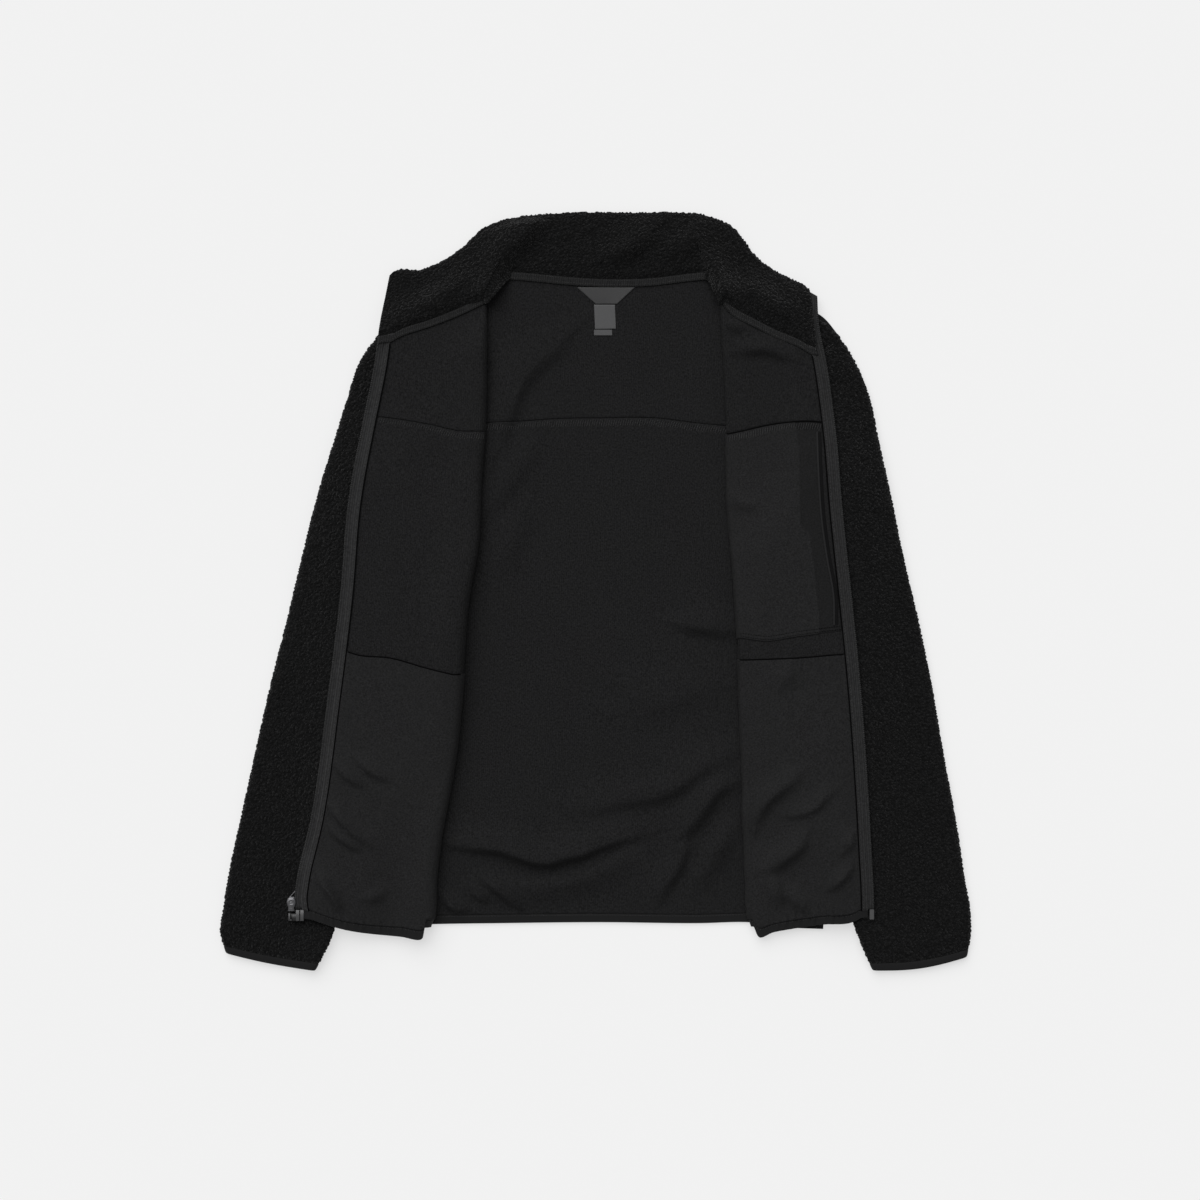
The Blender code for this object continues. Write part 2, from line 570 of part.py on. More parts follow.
# The collar's rows: share of its depth, then how far its underside and its top draw in, as shares of its
# thickness. The second row is where the neck tape ends.
COLLAR_ROWS = [(0, 0, 0.42), (0.1, 0, 0.36), (0.18, 0, 0.08), (0.45, 0, 0), (0.7, 0, 0), (0.9, 0.04, 0.04),
               (0.97, 0.16, 0.16), (1, 0.36, 0.36)]


def collar_end(side, start):
    """The collar's front end, beside the zip tape, from the neck seam to its top edge."""
    sign = 1 if side == "right" else -1
    line = smooth_line(ZIP_RIGHT if side == "right" else ZIP_LEFT)
    edge = line + sign * normals(line) * (TAPE_WIDTH + SEAM)
    top = smooth_line(COLLAR_TOP)
    corner = (edge[0, 0], np.interp(edge[0, 0], top[:, 0], top[:, 1]))
    shares = [row[0] for row in COLLAR_ROWS]
    return at_shares(np.vstack([start, edge[edge[:, 1] > start[1] + 3][::-1], corner]), shares)


def build_collar(left, right, cloth, tape):
    """The stand collar, spread flat from the neck seam outward, with the neck tape on its lower edge."""
    first = LOWER_COLUMNS + 1 + FOLD_STEPS
    left_neck, right_neck = left[0, first:, :2][::-1], right[0, first:, :2]
    neck = evenly(smooth_line(NECK_BACK), 10)
    low = np.vstack([left_neck, SHOULDER_LEFT[-1:], neck, SHOULDER_RIGHT[:1], right_neck])
    low = low + seam_side(low) * SEAM * 1.3
    ends = [collar_end("left", low[0]), collar_end("right", low[-1])]
    edge = smooth_line(COLLAR_TOP)
    start, end = COLLAR_TOP_CORNERS
    shares = np.concatenate([np.linspace(0.02, start, len(left_neck)),
                             np.linspace(start, end, len(neck) + 4)[1:-1],
                             np.linspace(end, 0.98, len(right_neck) + 1)[1:]])
    depth, rise, drop = np.array(COLLAR_ROWS).T[..., None]
    plan = low[None] * (1 - depth[..., None]) + at_shares(edge, shares)[None] * depth[..., None]
    plan[:, 0], plan[:, -1] = ends
    run = plan[1] - plan[0]
    plan[1] = plan[0] + run * (NECK_TAPE / np.linalg.norm(run, axis=-1))[:, None]
    base = collar_base(plan[..., 0], plan[..., 1])
    under = base + COLLAR * rise
    first_corner, last_corner = len(left_neck), len(left_neck) + len(neck) + 1
    for column in (first_corner, first_corner + 1, last_corner - 1, last_corner):
        under[0, column] = min(under[0, column], SHERPA + LOOSE)
    top = raised(plan, base + COLLAR * (1 - drop))
    wall("collar", raised(plan, under), top, cloth)
    strip = trimmed(top[:2], SEAM, rows=(False, False), cols=(True, True))
    wall("neck_tape", strip + np.array([0, 0, SEAM]), strip + np.array([0, 0, SEAM + TRIM]), tape)


def seam_side(line):
    """Unit directions from the neck seam toward the collar."""
    run = np.gradient(line, axis=0)
    run /= np.linalg.norm(run, axis=1)[:, None]
    return np.column_stack([-run[:, 1], run[:, 0]])


# ---------------------------------------------------------------- zip, labels

def build_zip_tape(side, cloth):
    """Ribbed tape with its coil bead along the outer edge, from the collar's corner to the hem."""
    sign = 1 if side == "right" else -1
    line = smooth_line(ZIP_RIGHT if side == "right" else ZIP_LEFT)
    line = evenly(np.vstack([line[line[:, 1] > TAPE_END], at_height(line, TAPE_END)]), 26)
    inward = sign * normals(line)
    across = [(TAPE_WIDTH, 0.0, TAPE), (2.6, 0.0, TAPE), (1.8, -COIL_DROP, COIL), (0.0, -COIL_DROP, COIL)]
    lower, upper = [], []
    for distance, drop, thickness in across:
        plan = line + inward * distance
        start, length, rise = ZIP_ONTO_COLLAR
        share = step((plan[:, 1] - start) / length)
        on_collar = collar_base(plan[:, 0], plan[:, 1]) + rise
        base = lap_base(plan[:, 0], plan[:, 1]) * (1 - share) + on_collar * share
        lower.append(np.column_stack([plan, base + TAPE_RISE + drop]))
        upper.append(np.column_stack([plan, base + TAPE_RISE + drop + thickness]))
    wall("zip_tape_" + side, np.stack(lower, 1), np.stack(upper, 1), cloth)


def build_labels(cloth):
    """Neck label that hangs from the neck seam, size tab and care tab below it."""
    for name, corners in (("label_main", [(-19, 320), (42, 320), (1, 302.5), (23, 302.5)]),
                          ("label_size", [(-1, 301.8), (21, 301.8), (0, 276), (22, 276.5)]),
                          ("label_care", [(-1, 275.5), (18, 275.5), (-1, 269.5), (18, 269.5)])):
        top, bottom = evenly(np.array(corners[:2], float), 3), evenly(np.array(corners[2:], float), 3)
        down = np.linspace(0, 1, 5)[:, None, None]
        plan = top[None] * (1 - down) + bottom[None] * down
        wall(name, raised(plan, SHERPA + SEAM), raised(plan, SHERPA + SEAM + LABEL), cloth)


def arc(centre, radius, start, end, count):
    """Points round an arc, both ends included, with angles in degrees."""
    angles = [math.radians(start + (end - start) * i / count) for i in range(count + 1)]
    return [(centre[0] + radius * math.cos(a), centre[1] + radius * math.sin(a)) for a in angles]


def circle(centre, radius, count=16):
    return arc(centre, radius, 0, 360, count)[:-1]


def combine(piece, other, operation):
    """Joins another solid to a piece, or cuts it away."""
    other.hide_render = True
    other.display_type = "WIRE"
    made = piece.modifiers.new(other.name, "BOOLEAN")
    made.operation = operation
    made.solver = "EXACT"
    made.object = other


def build_slider(base, metal):
    """Two shield-shaped plates on a post, with the pull tab's pivot and its head beneath."""
    x, y = SLIDER_CENTRE
    half, long = SLIDER_WIDTH / 2, SLIDER_LENGTH / 2
    half_shield = [(0.6, 1.0), (1.0, 0.55), (0.85, -0.55), (0.4, -1.0)]
    shield = half_shield + [(-across, along) for across, along in reversed(half_shield)]
    outline = [(x + across * half, y + along * long) for across, along in shield]
    thickness = SLIDER_LOWER[1] - SLIDER_LOWER[0]
    slider = plate("zip_slider", outline, base + SLIDER_LOWER[0], thickness, metal)
    left, right, near, far = SLIDER_POST
    post = [(x + left, y + near), (x + right, y + near), (x + right, y + far), (x + left, y + far)]
    overlap = SEAM
    pieces = [
        plate("slider_top", outline, base + SLIDER_UPPER[0], SLIDER_UPPER[1] - SLIDER_UPPER[0], metal),
        plate("slider_post", post, base + SLIDER_LOWER[1] - overlap,
              SLIDER_UPPER[0] - SLIDER_LOWER[1] + 2 * overlap, metal),
        plate("pivot", circle(PIVOT, PIVOT_RADIUS), base + PIVOT_HEAD[1] - overlap,
              SLIDER_LOWER[0] - PIVOT_HEAD[1] + 2 * overlap, metal),
        plate("pivot_head", circle(PIVOT, PIVOT_HEAD_RADIUS), base + PIVOT_HEAD[0],
              PIVOT_HEAD[1] - PIVOT_HEAD[0], metal),
    ]
    for other in (pieces[1], pieces[0], pieces[2], pieces[3]):
        combine(slider, other, "UNION")


def build_pull_tab(base, metal):
    """Flat tab with an eye round the slider's pivot. Its origin is on the pivot's axis."""
    half = TAB_WIDTH / 2
    outline = arc((0, 0), half, 0, -180, 8) + arc((0, TAB_LENGTH - 2 * half), half, 180, 0, 8)
    thickness = TAB_LEVEL[1] - TAB_LEVEL[0]
    tab = plate("pull_tab", outline, -thickness / 2, thickness, metal)
    eye = plate("tab_eye", circle((0, 0), TAB_EYE_RADIUS), -thickness, 2 * thickness, metal)
    combine(tab, eye, "DIFFERENCE")
    for item in (tab, eye):
        item.location = (PIVOT[0] * MM, PIVOT[1] * MM, (base + sum(TAB_LEVEL) / 2) * MM)
        item.rotation_euler = (0, 0, -TAB_TURN)


def build_hardware(metal):
    """Slider, pull tab, retainer box and insertion pin at the two lower zip ends."""
    base = lap_base(np.array([SLIDER_CENTRE[0]]), np.array([SLIDER_CENTRE[1]]))[0]
    build_slider(base, metal)
    build_pull_tab(base, metal)
    for name, corners, height in (("retainer_box", BOX, BOX_HEIGHT), ("insertion_pin", PIN, PIN_HEIGHT)):
        x, y = np.array(corners, float).mean(axis=0)
        level = lap_base(np.array([x]), np.array([y]))[0] + TAPE_RISE + TAPE / 2
        solid = plate(name, corners, level - height / 2, height, metal)
        rounding = solid.modifiers.new("edges", "BEVEL")
        rounding.width = 0.5 * MM
        rounding.segments = 1


def main():
    for item in list(bpy.data.objects):
        bpy.data.objects.remove(item, do_unlink=True)
    fleece = material("sherpa_fleece", (0.012, 0.012, 0.013), 0.95)
    woven = material("woven_polyester", (0.016, 0.016, 0.017), 0.8)
    ribbed = material("ribbed_tape", (0.03, 0.03, 0.032), 0.7)
    elastic = material("elastic_binding", (0.011, 0.011, 0.012), 0.85)
    satin = material("label_satin", (0.045, 0.045, 0.047), 0.5)
    metal = material("gunmetal", (0.08, 0.08, 0.085), 0.4, 1.0)
    build_back(fleece, elastic)
    left = build_front("left", fleece, elastic, ribbed, woven)
    right = build_front("right", fleece, elastic, ribbed, woven)
    for side in ("left", "right"):
        build_sleeve(side, fleece, elastic)
        build_zip_tape(side, ribbed)
    build_collar(left, right, fleece, ribbed)
    build_labels(satin)
    build_hardware(metal)


main()
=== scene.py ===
"""Looks of the sherpa fleece jacket that lies flat with its inside up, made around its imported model.

Metres in Blender, +Z up. Tables and sizes here are in millimetres, as in the model: X across the jacket,
Y toward the collar, Z up from the surface that it lies on. "Right" is the +X side as seen from above.
"""
import math

import bpy
import numpy as np
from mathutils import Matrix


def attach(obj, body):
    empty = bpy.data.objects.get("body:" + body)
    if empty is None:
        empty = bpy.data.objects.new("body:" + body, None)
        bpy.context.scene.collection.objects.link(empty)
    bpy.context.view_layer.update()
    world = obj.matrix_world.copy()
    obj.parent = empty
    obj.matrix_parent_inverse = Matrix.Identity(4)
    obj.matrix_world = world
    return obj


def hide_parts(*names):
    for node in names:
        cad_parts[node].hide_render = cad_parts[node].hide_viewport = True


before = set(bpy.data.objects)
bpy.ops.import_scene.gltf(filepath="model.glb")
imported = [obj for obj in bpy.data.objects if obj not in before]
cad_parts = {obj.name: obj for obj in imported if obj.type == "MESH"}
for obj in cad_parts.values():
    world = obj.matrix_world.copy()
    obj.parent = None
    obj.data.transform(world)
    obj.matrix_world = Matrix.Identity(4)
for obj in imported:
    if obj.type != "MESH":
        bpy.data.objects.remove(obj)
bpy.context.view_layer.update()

MM = 0.001
SIGN = {"left": -1, "right": 1}          # of X on each side

# Thicknesses and layer heights, as in the model.
SHERPA = 3.4
COLLAR = 7.0
TRIM = 1.0
LABEL = 0.7
SEAM_DEPTH = 1.6        # of the groove along a seam between two panels
SEAM = 0.3              # room between two pieces that are sewn together
SEWN = 0.02             # room between panels whose edges meet in a seam
LOOSE = 0.5             # room between two pieces that lie on each other
SLEEVE_HOLLOW = 0.8
SLEEVE = 2 * SHERPA + SLEEVE_HOLLOW
FRONT_BASE = SHERPA + SEAM                  # underside of a front's lower layer,
LAP_BASE = FRONT_BASE + SHERPA + LOOSE      # and of its upper one
OVER_SLEEVE = SLEEVE + 2 * LOOSE

# Widths.
TAPE_WIDTH, FACING_WIDTH, NECK_TAPE = 7.0, 7.0, 7.0
BINDING = 9.0
SHOULDER_TUCK = 4.0     # how far a front's lower layer stays below the back's shoulder edge

# Where one layer rises over another: the distance at which it starts to fall, and over what width.
SIDE_RAMP = (4.0, 72.0)
SLEEVE_EDGE_RAMP = (4.0, 62.0)
SLEEVE_END_RAMP = (268.0, 34.0)
COLLAR_RAMP = (4.0, 38.0)
COLLAR_AT_FRONTS = (-80.0, 100.0, 38.0)     # X of the ends of its back, and the width of the rise past them
ZIP_ONTO_COLLAR = (240.0, 30.0, 1.6)        # Y from which it rises, over what length, and how much

# Outlines, as (x, y).
SIDE = {"right": [(257, 268), (238, 254), (229, 232), (225, 202), (228, 160), (239, 108), (255, 60),
                  (268, 22), (264, -60), (254, -197), (243, -302), (239, -352)],
        "left": [(-230, 267), (-214, 254), (-206, 232), (-202, 202), (-205, 160), (-218, 108), (-234, 60),
                 (-249, 22), (-250, -60), (-254, -197), (-259, -302), (-260, -352)]}
BODY = {"right": [(258, 290), (262, 160), (268, 22), (264, -60), (254, -197), (243, -302), (238, -420)],
        "left": [(-232, 290), (-240, 160), (-249, 22), (-250, -60), (-254, -197), (-259, -302),
                 (-260, -420)]}
NECK_BACK = [(-93, 329), (-68, 327), (-26, 323), (10, 321), (58, 322), (100, 327), (120, 329)]
SHOULDER = {"right": [(132, 304), (194, 303), (238, 290), (257, 268)],
            "left": [(-230, 267), (-173, 286), (-113, 304)]}
FOLD = {"right": [(131, 301), (133, 265), (136, 214), (138, 139), (139, 94), (145, 25), (149, -36),
                  (153, -144), (156, -220), (158, -297), (161, -343), (166, -358)],
        "left": [(-113, 302), (-113, 249), (-114, 174), (-118, 119), (-121, 57), (-133, -15), (-138, -82),
                 (-147, -177), (-153, -213), (-160, -251), (-166, -297), (-169, -344), (-173, -357)]}
ZIP = {"right": [(233, 310), (234, 285), (243, 238), (252, 170), (258, 94), (268, -2), (276, -80),
                 (285, -197), (289, -266), (292, -327), (292, -341)],
       "left": [(-216, 331), (-224, 290), (-231, 240), (-243, 179), (-258.4, 89), (-265.6, 3),
                (-279.8, -113), (-297, -235), (-312, -302), (-314, -320), (-311, -341)]}
COLLAR_TOP = [(-216, 331), (-209, 337), (-184, 338), (-159, 348), (-133, 367), (-121, 379), (-108, 386),
              (-89, 392), (-58, 396), (-21, 398), (52, 398), (93, 398), (113, 396), (131, 390), (144, 383),
              (156, 369), (169, 352), (194, 334), (218, 322), (233, 310)]
COLLAR_TOP_CORNERS = (0.225, 0.800)
HEM_BACK = [(-260, -352), (-166, -348), (-98, -347), (5, -346), (112, -347), (160, -346), (200, -350),
            (239, -352)]

# Lines across each front's upper layer: name, y on its side, on its fold and on its zip, points between.
FRONT_LINES = {
    "left": [
        ("neck", 268, 302, 262, [(-142, 290), (-173, 278), (-205, 267)]),
        ("yoke", 176, 168, 184, [(-140, 168.5), (-170, 175), (-205, 181)]),
        ("chest", -30, -36, -16, [(-200, -26)]),
        ("bag", -62, -85, -61, [(-177, -78), (-213, -68), (-250, -64)]),
        ("binding", -344, -342, -331, [(-178, -350), (-203, -350), (-266, -342), (-298, -336)]),
        ("hem", -352.5, -350, -341, [(-180, -361), (-203, -360), (-266, -351), (-300, -345)]),
    ],
    "right": [
        ("neck", 268, 301, 249, [(142, 292), (163, 280), (189, 267), (215, 256)]),
        ("yoke", 176, 166, 178, [(159, 170), (176, 174), (203, 178), (225, 179)]),
        ("chest", -30, -48, -40, [(180, -51), (206, -47), (235, -43)]),
        ("bag", -62, -70, -64, [(185, -69), (224, -67), (245, -65)]),
        ("binding", -344, -342, -331, [(172, -351), (186, -347), (207, -343), (239, -338), (270, -335)]),
        ("hem", -352.5, -350, -340, [(172, -361), (186, -356), (207, -352), (239, -347), (270, -344)]),
    ],
}
YOKE_BACK = [(-70, 180), (-43, 182), (8, 183), (62, 183), (105, 178), (135, 175)]

# Sleeves: a row for each station from the shoulder seam to the cuff, as inner and outer edge.
SLEEVE_EDGES = {"right": [((238.1, 254.1), (257.0, 268.0)), ((232, 230), (270, 247)),
                          ((228, 202), (288, 204)), ((231, 165), (297, 160)), ((237, 128), (311, 97)),
                          ((222, 92), (324, 34)), ((188, 40), (339, -29)), ((176, -40), (352, -92)),
                          ((203, -155), (365, -167)), ((234, -246), (379, -243)),
                          ((256, -306), (388, -302)), ((270, -345), (393.5, -335)),
                          ((279, -369), (394, -358)), ((291, -396), (390, -382))],
                "left": [((-214.0, 254.2), (-230.0, 267.2)), ((-209, 230), (-246, 243)),
                         ((-205, 202), (-260, 202)), ((-208, 165), (-273, 160)), ((-215, 128), (-292, 97)),
                         ((-200, 92), (-308, 34)), ((-172, 40), (-323, -29)), ((-164, -40), (-339, -92)),
                         ((-196, -155), (-356, -167)), ((-230, -235), (-371, -235)),
                         ((-255, -300), (-382, -285)), ((-270, -345), (-390, -333)),
                         ((-279, -369), (-393, -355)), ((-293, -396), (-387, -378))]}
SLEEVE_RISE = (112, 206)
CUFF_BOW = {"right": 5.0, "left": 2.0}
# The front's lift at the slider: its height, its radius, the share of this that is flat, and its centre.
SLIDER_LIFT = (3.8, 34.0, 0.6, -309.0, -318.0)

# Folds and creases of the cloth. Each row: height of the crest, its half width to the left and to the right
# of the line as seen along it, and the line's points.
CREASE_SCALE = 1.6
CREASE_REACH = 3.2      # how far from its line a crease reaches, in its larger half widths
CREASE_ENDS = 0.7       # how bluntly it fades at both ends
BACK_FOLDS = [
    (7.6, 19, 5.0, [(-162, -263), (-140, -266), (-122, -268), (-100, -270), (-84, -275), (-62, -282),
                    (-46, -282), (-33, -278), (-14, -274), (2, -267), (18, -262), (32, -258), (60, -252)]),
    (4.2, 8, 16, [(-128, -302), (-60, -308), (0, -294), (45, -272)]),
    (4.6, 20, 8, [(-20, -234), (18, -221), (46, -216), (67, -212), (88, -202), (109, -187), (126, -178),
                  (145, -171)]),
    (6.4, 15, 8, [(92, -254), (101, -243), (117, -221), (128, -207), (148, -199)]),
    (4.6, 13, 5.5, [(69, -322), (74, -308), (85, -291), (93, -272), (96, -262)]),
    (4.4, 9, 14, [(106, -306), (128, -268), (142, -240)]),
    (5.4, 10, 2.8, [(-116, -303), (-96, -317), (-80, -331)]),
    (3.8, 7, 2.8, [(-129, -313), (-117, -324)]),
    (4.8, 8, 2.8, [(-158, -321), (-150, -330), (-137, -334)]),
    (4.4, 16, 7, [(84, -33), (112, -37), (147, -43)]),
    (4.4, 26, 8, [(-106, 136), (-97, 165), (-88, 192), (-75, 222), (-42, 254), (-28, 266)]),
    (3.2, 26, 11, [(-112, 84), (-90, 116), (-60, 156)]),
    (2.6, 22, 12, [(-98, 20), (-84, 60), (-70, 88)]),
    (2.4, 30, 16, [(30, -128), (78, -112), (120, -104)]),
]
FRONT_FOLDS = [
    (5.6, 13, 7, [(168, -249), (170, -232), (178, -219), (195, -204), (214, -190)]),
    (3.0, 10, 4, [(197, -234), (216, -231), (232, -223), (237, -217), (253, -205)]),
    (6.0, 13, 7, [(176, -291), (191, -283), (201, -275), (213, -265), (220, -254)]),
    (4.4, 7, 11, [(183, -296), (191, -312), (194, -320)]),
    (3.8, 9, 5, [(201, -312), (210, -323), (218, -332)]),
    (2.8, 10, 5, [(262, -269), (270, -255)]),
    (3.8, 8, 3.5, [(245, -310), (257, -300), (269, -286)]),
    (2.2, 12, 8, [(196, -97), (204, -79)]),
    (4.2, 12, 5, [(148, 251), (176, 254), (206, 243)]),
    (2.8, 7, 5, [(138, 281), (154, 275)]),
    (2.0, 9, 6, [(142, 99), (156, 92), (172, 92)]),
    (3.4, 9, 3.4, [(-273, -178), (-258, -193), (-246, -202)]),
    (3.2, 10, 3.6, [(-249, -175), (-234, -187), (-218, -196)]),
    (4.2, 9, 3.4, [(-279, -221), (-267, -236), (-252, -251), (-236, -263)]),
    (3.4, 8, 3.4, [(-278, -245), (-261, -260), (-246, -269)]),
    (5.4, 8, 2.6, [(-290, -296), (-283, -306), (-274, -318), (-267, -332)]),
    (2.4, 8, 5, [(-239, -320), (-221, -316)]),
]
# Short gathers above the fronts' hem: X at the hem, lean, length, height.
GATHERS = [(-282, 2, 13, 0.9), (-274, -1, 17, 1.3), (-267, 2, 12, 0.8), (-259, 3, 20, 1.2),
           (-252, 0, 14, 0.9), (-243, 2, 18, 1.1), (-235, -2, 12, 0.8), (-226, 1, 16, 1.0),
           (-214, 3, 13, 0.8), (-203, 1, 17, 0.9), (192, 2, 14, 1.0), (199, 4, 20, 1.4), (207, 3, 17, 1.1),
           (214, 5, 22, 1.4), (221, 2, 14, 0.9), (229, 4, 19, 1.2), (238, 1, 13, 0.8), (247, -2, 16, 0.9),
           (258, 1, 12, 0.7), (271, -2, 15, 0.8)]
GATHER_WIDTH = 2.0
# Fine ripples that the elastic draws between the gathers.
RIPPLE, RIPPLE_PITCH = 0.55, 5.2
RIPPLE_WANDER = (2.2, 11.0, 0.1)        # how far they wander sideways, over what width, and their lean
RIPPLE_LONG = (9.0, 5.0, 7.3)           # their length, how much it changes, and over what width
RIPPLE_SWELL = (0.7, 0.3, 17.0)         # the same for their height
# How much each front bulges at its fold, over what width, and where this fades toward the neck.
FOLD_SWELL = {"left": (8.5, 26.0), "right": (-1.6, 11.0)}
SWELL_FADE = (302.0, 50.0)
EDGE_PRESS, PRESS_BEND = 1.9, 1.3       # how much the front is pressed down at the zip tape, and how late
EDGE_COLUMNS = 5
COLLAR_FOLDS = [
    (7.0, 10, 22, [(-56, 392), (-74, 374), (-96, 352), (-108, 330)]),
    (5.0, 18, 10, [(6, 346), (40, 362), (64, 380)]),
    (6.0, 16, 6, [(112, 356), (121, 341), (126, 320), (136, 302)]),
    (4.0, 14, 12, [(-196, 292), (-160, 312), (-122, 344)]),
    (4.0, 12, 14, [(150, 322), (186, 300), (214, 290)]),
    (3.6, 14, 14, [(70, 352), (96, 366), (116, 384)]),
]
CORNER_ROLLS = [((-113, 318), 20.0, 7.0), ((133, 316), 14.0, 3.5)]      # centre, radius, height

# Density of the visible meshes.
ROWS_BETWEEN = {"yoke": 40, "chest": 72, "bag": 12, "binding": 136, "hem": 6}
YOKE_ROW, CHEST_ROW, BAG_ROW, BINDING_ROW, HEM_ROW = 40, 112, 124, 260, 266
NECK_SPANS = (34, 100, 38)
LOWER_COLUMNS, FOLD_STEPS, UPPER_COLUMNS = 8, 11, 96

TAPE, TAPE_RISE = 1.2, 1.2      # thickness of the zip tape, and its height over the underside of the front
TAPE_END = -331.0               # the y of its lower end


# ---------------------------------------------------------------- lines and heights

def smooth_line(points, steps=10):
    """A smooth line through the points, with tangents weighted by the spans beside them."""
    points = np.array(points, float)
    spans = np.linalg.norm(np.diff(points, axis=0), axis=1)
    slopes = np.diff(points, axis=0) / spans[:, None]
    tangents = np.empty_like(points)
    tangents[0], tangents[-1] = slopes[0], slopes[-1]
    before, after = spans[:-1, None], spans[1:, None]
    tangents[1:-1] = (slopes[:-1] * after + slopes[1:] * before) / (before + after)
    line = [points[:1]]
    t = np.linspace(0, 1, steps + 1)[1:, None]
    for i, span in enumerate(spans):
        line.append((2 * t**3 - 3 * t**2 + 1) * points[i] + (t**3 - 2 * t**2 + t) * span * tangents[i]
                    + (3 * t**2 - 2 * t**3) * points[i + 1] + (t**3 - t**2) * span * tangents[i + 1])
    return np.vstack(line)


def at_shares(line, shares):
    """Points at the given shares of a line's length."""
    length = np.concatenate([[0], np.cumsum(np.linalg.norm(np.diff(line, axis=0), axis=1))])
    where = np.asarray(shares, float) * length[-1]
    return np.column_stack([np.interp(where, length, line[:, i]) for i in range(line.shape[1])])


def evenly(line, spans):
    return at_shares(line, np.linspace(0, 1, spans + 1))


def up(height):
    return np.array([0, 0, height])


def length_of(line):
    return float(np.linalg.norm(np.diff(line, axis=0), axis=1).sum())


def at_height(line, y):
    """The point of a line that runs down the jacket at the given y."""
    return np.array([np.interp(-y, -line[:, 1], line[:, 0]), y])


def between(line, y_from, y_to, spans):
    """Evenly spaced points of a line that runs down the jacket, from one y to another."""
    inside = line[(line[:, 1] < y_from) & (line[:, 1] > y_to)]
    return evenly(np.vstack([at_height(line, y_from), inside, at_height(line, y_to)]), spans)


def unit(vectors):
    return vectors / np.linalg.norm(vectors, axis=-1)[..., None]


def normals(line):
    """Unit normals, to the right of a line that runs down the jacket as seen from above: toward -X."""
    run = unit(np.gradient(line, axis=0))
    return np.column_stack([run[:, 1], -run[:, 0]])


def patch(top, bottom, left, right):
    """A grid of rows and columns between four lines that share their corners."""
    rows = len(left)
    v = np.linspace(0, 1, rows)[:, None, None]
    chord = np.linalg.norm(np.diff(top, axis=0), axis=1)
    u = (np.concatenate([[0], np.cumsum(chord)]) / chord.sum())[None, :, None]
    corners = ((1 - v) * ((1 - u) * top[0] + u * top[-1]) + v * ((1 - u) * bottom[0] + u * bottom[-1]))
    return ((1 - v) * top[None] + v * bottom[None] + (1 - u) * left[:, None] + u * right[:, None] - corners)


def step(value):
    value = np.clip(value, 0, 1)
    return value * value * (3 - 2 * value)


def down_ramp(distance, margin, width):
    """1 up to the margin, then smoothly down to 0."""
    return 1 - step((distance - margin) / width)


def across_at(edge, y):
    """X of an edge that runs down the jacket, at each y."""
    edge = np.array(edge, float)
    return np.interp(-y, -edge[:, 1], edge[:, 0])


def on_body(x, y):
    """1 over the body, falling to 0 past its sides."""
    right, left = x - across_at(BODY["right"], y), across_at(BODY["left"], y) - x
    return down_ramp(right, *SIDE_RAMP) * down_ramp(left, *SIDE_RAMP)


def sleeve_base(x, y):
    """Underside of a sleeve."""
    return LAP_BASE * on_body(x, y) * (1 - step((y - SLEEVE_RISE[0]) / (SLEEVE_RISE[1] - SLEEVE_RISE[0])))


def on_sleeve(x, y):
    """1 over a sleeve, falling to 0 inside its inner edge and above its shoulder end."""
    share = np.zeros_like(x)
    for side, table in SLEEVE_EDGES.items():
        inset = SIGN[side] * (across_at([row[0] for row in table], y) - x)
        share = np.maximum(share, down_ramp(inset, *SLEEVE_EDGE_RAMP))
    return share * down_ramp(y, *SLEEVE_END_RAMP)


def slider_lift(x, y):
    height, radius, flat, centre_x, centre_y = SLIDER_LIFT
    return height * down_ramp(np.hypot(x - centre_x, y - centre_y), radius * flat, radius)


def lap_base(x, y):
    """Underside of a front's upper layer."""
    over = on_sleeve(x, y)
    flat = LAP_BASE * on_body(x, y)
    return (1 - over) * flat + over * (sleeve_base(x, y) + OVER_SLEEVE) + slider_lift(x, y)


def collar_base(x, y):
    """Underside of the collar: on the surface behind the neck, on the shoulders at the fronts."""
    left, right, width = COLLAR_AT_FRONTS
    at_front = 1 - down_ramp(left - x, 0, width) * down_ramp(x - right, 0, width)
    shoulder = np.vstack([smooth_line(SHOULDER["left"]), smooth_line(SHOULDER["right"])])
    past = y - np.interp(x, shoulder[:, 0], shoulder[:, 1])
    return at_front * lap_base(x, y) * down_ramp(past, *COLLAR_RAMP)


def creased(x, y, table):
    """Height of the folds and creases of a table, each fading out at both ends."""
    total = np.zeros_like(x)
    for height, half_left, half_right, points in table:
        line = smooth_line(points, 8)
        share = np.linspace(0, 1, len(line))
        swell = np.sin(np.pi * np.clip(share, 0.02, 0.98)) ** CREASE_ENDS
        run = np.gradient(line, axis=0)
        reach = CREASE_REACH * max(half_left, half_right)
        low, high = line.min(axis=0) - reach, line.max(axis=0) + reach
        near = (x > low[0]) & (x < high[0]) & (y > low[1]) & (y < high[1])
        if not near.any():
            continue
        dx, dy = x[near][:, None] - line[:, 0], y[near][:, None] - line[:, 1]
        side = run[:, 0] * dy - run[:, 1] * dx
        gap = np.hypot(dx, dy) / np.where(side > 0, half_left, half_right)
        total[near] += CREASE_SCALE * height * np.max(swell * np.exp(-gap**2), axis=1)
    return total


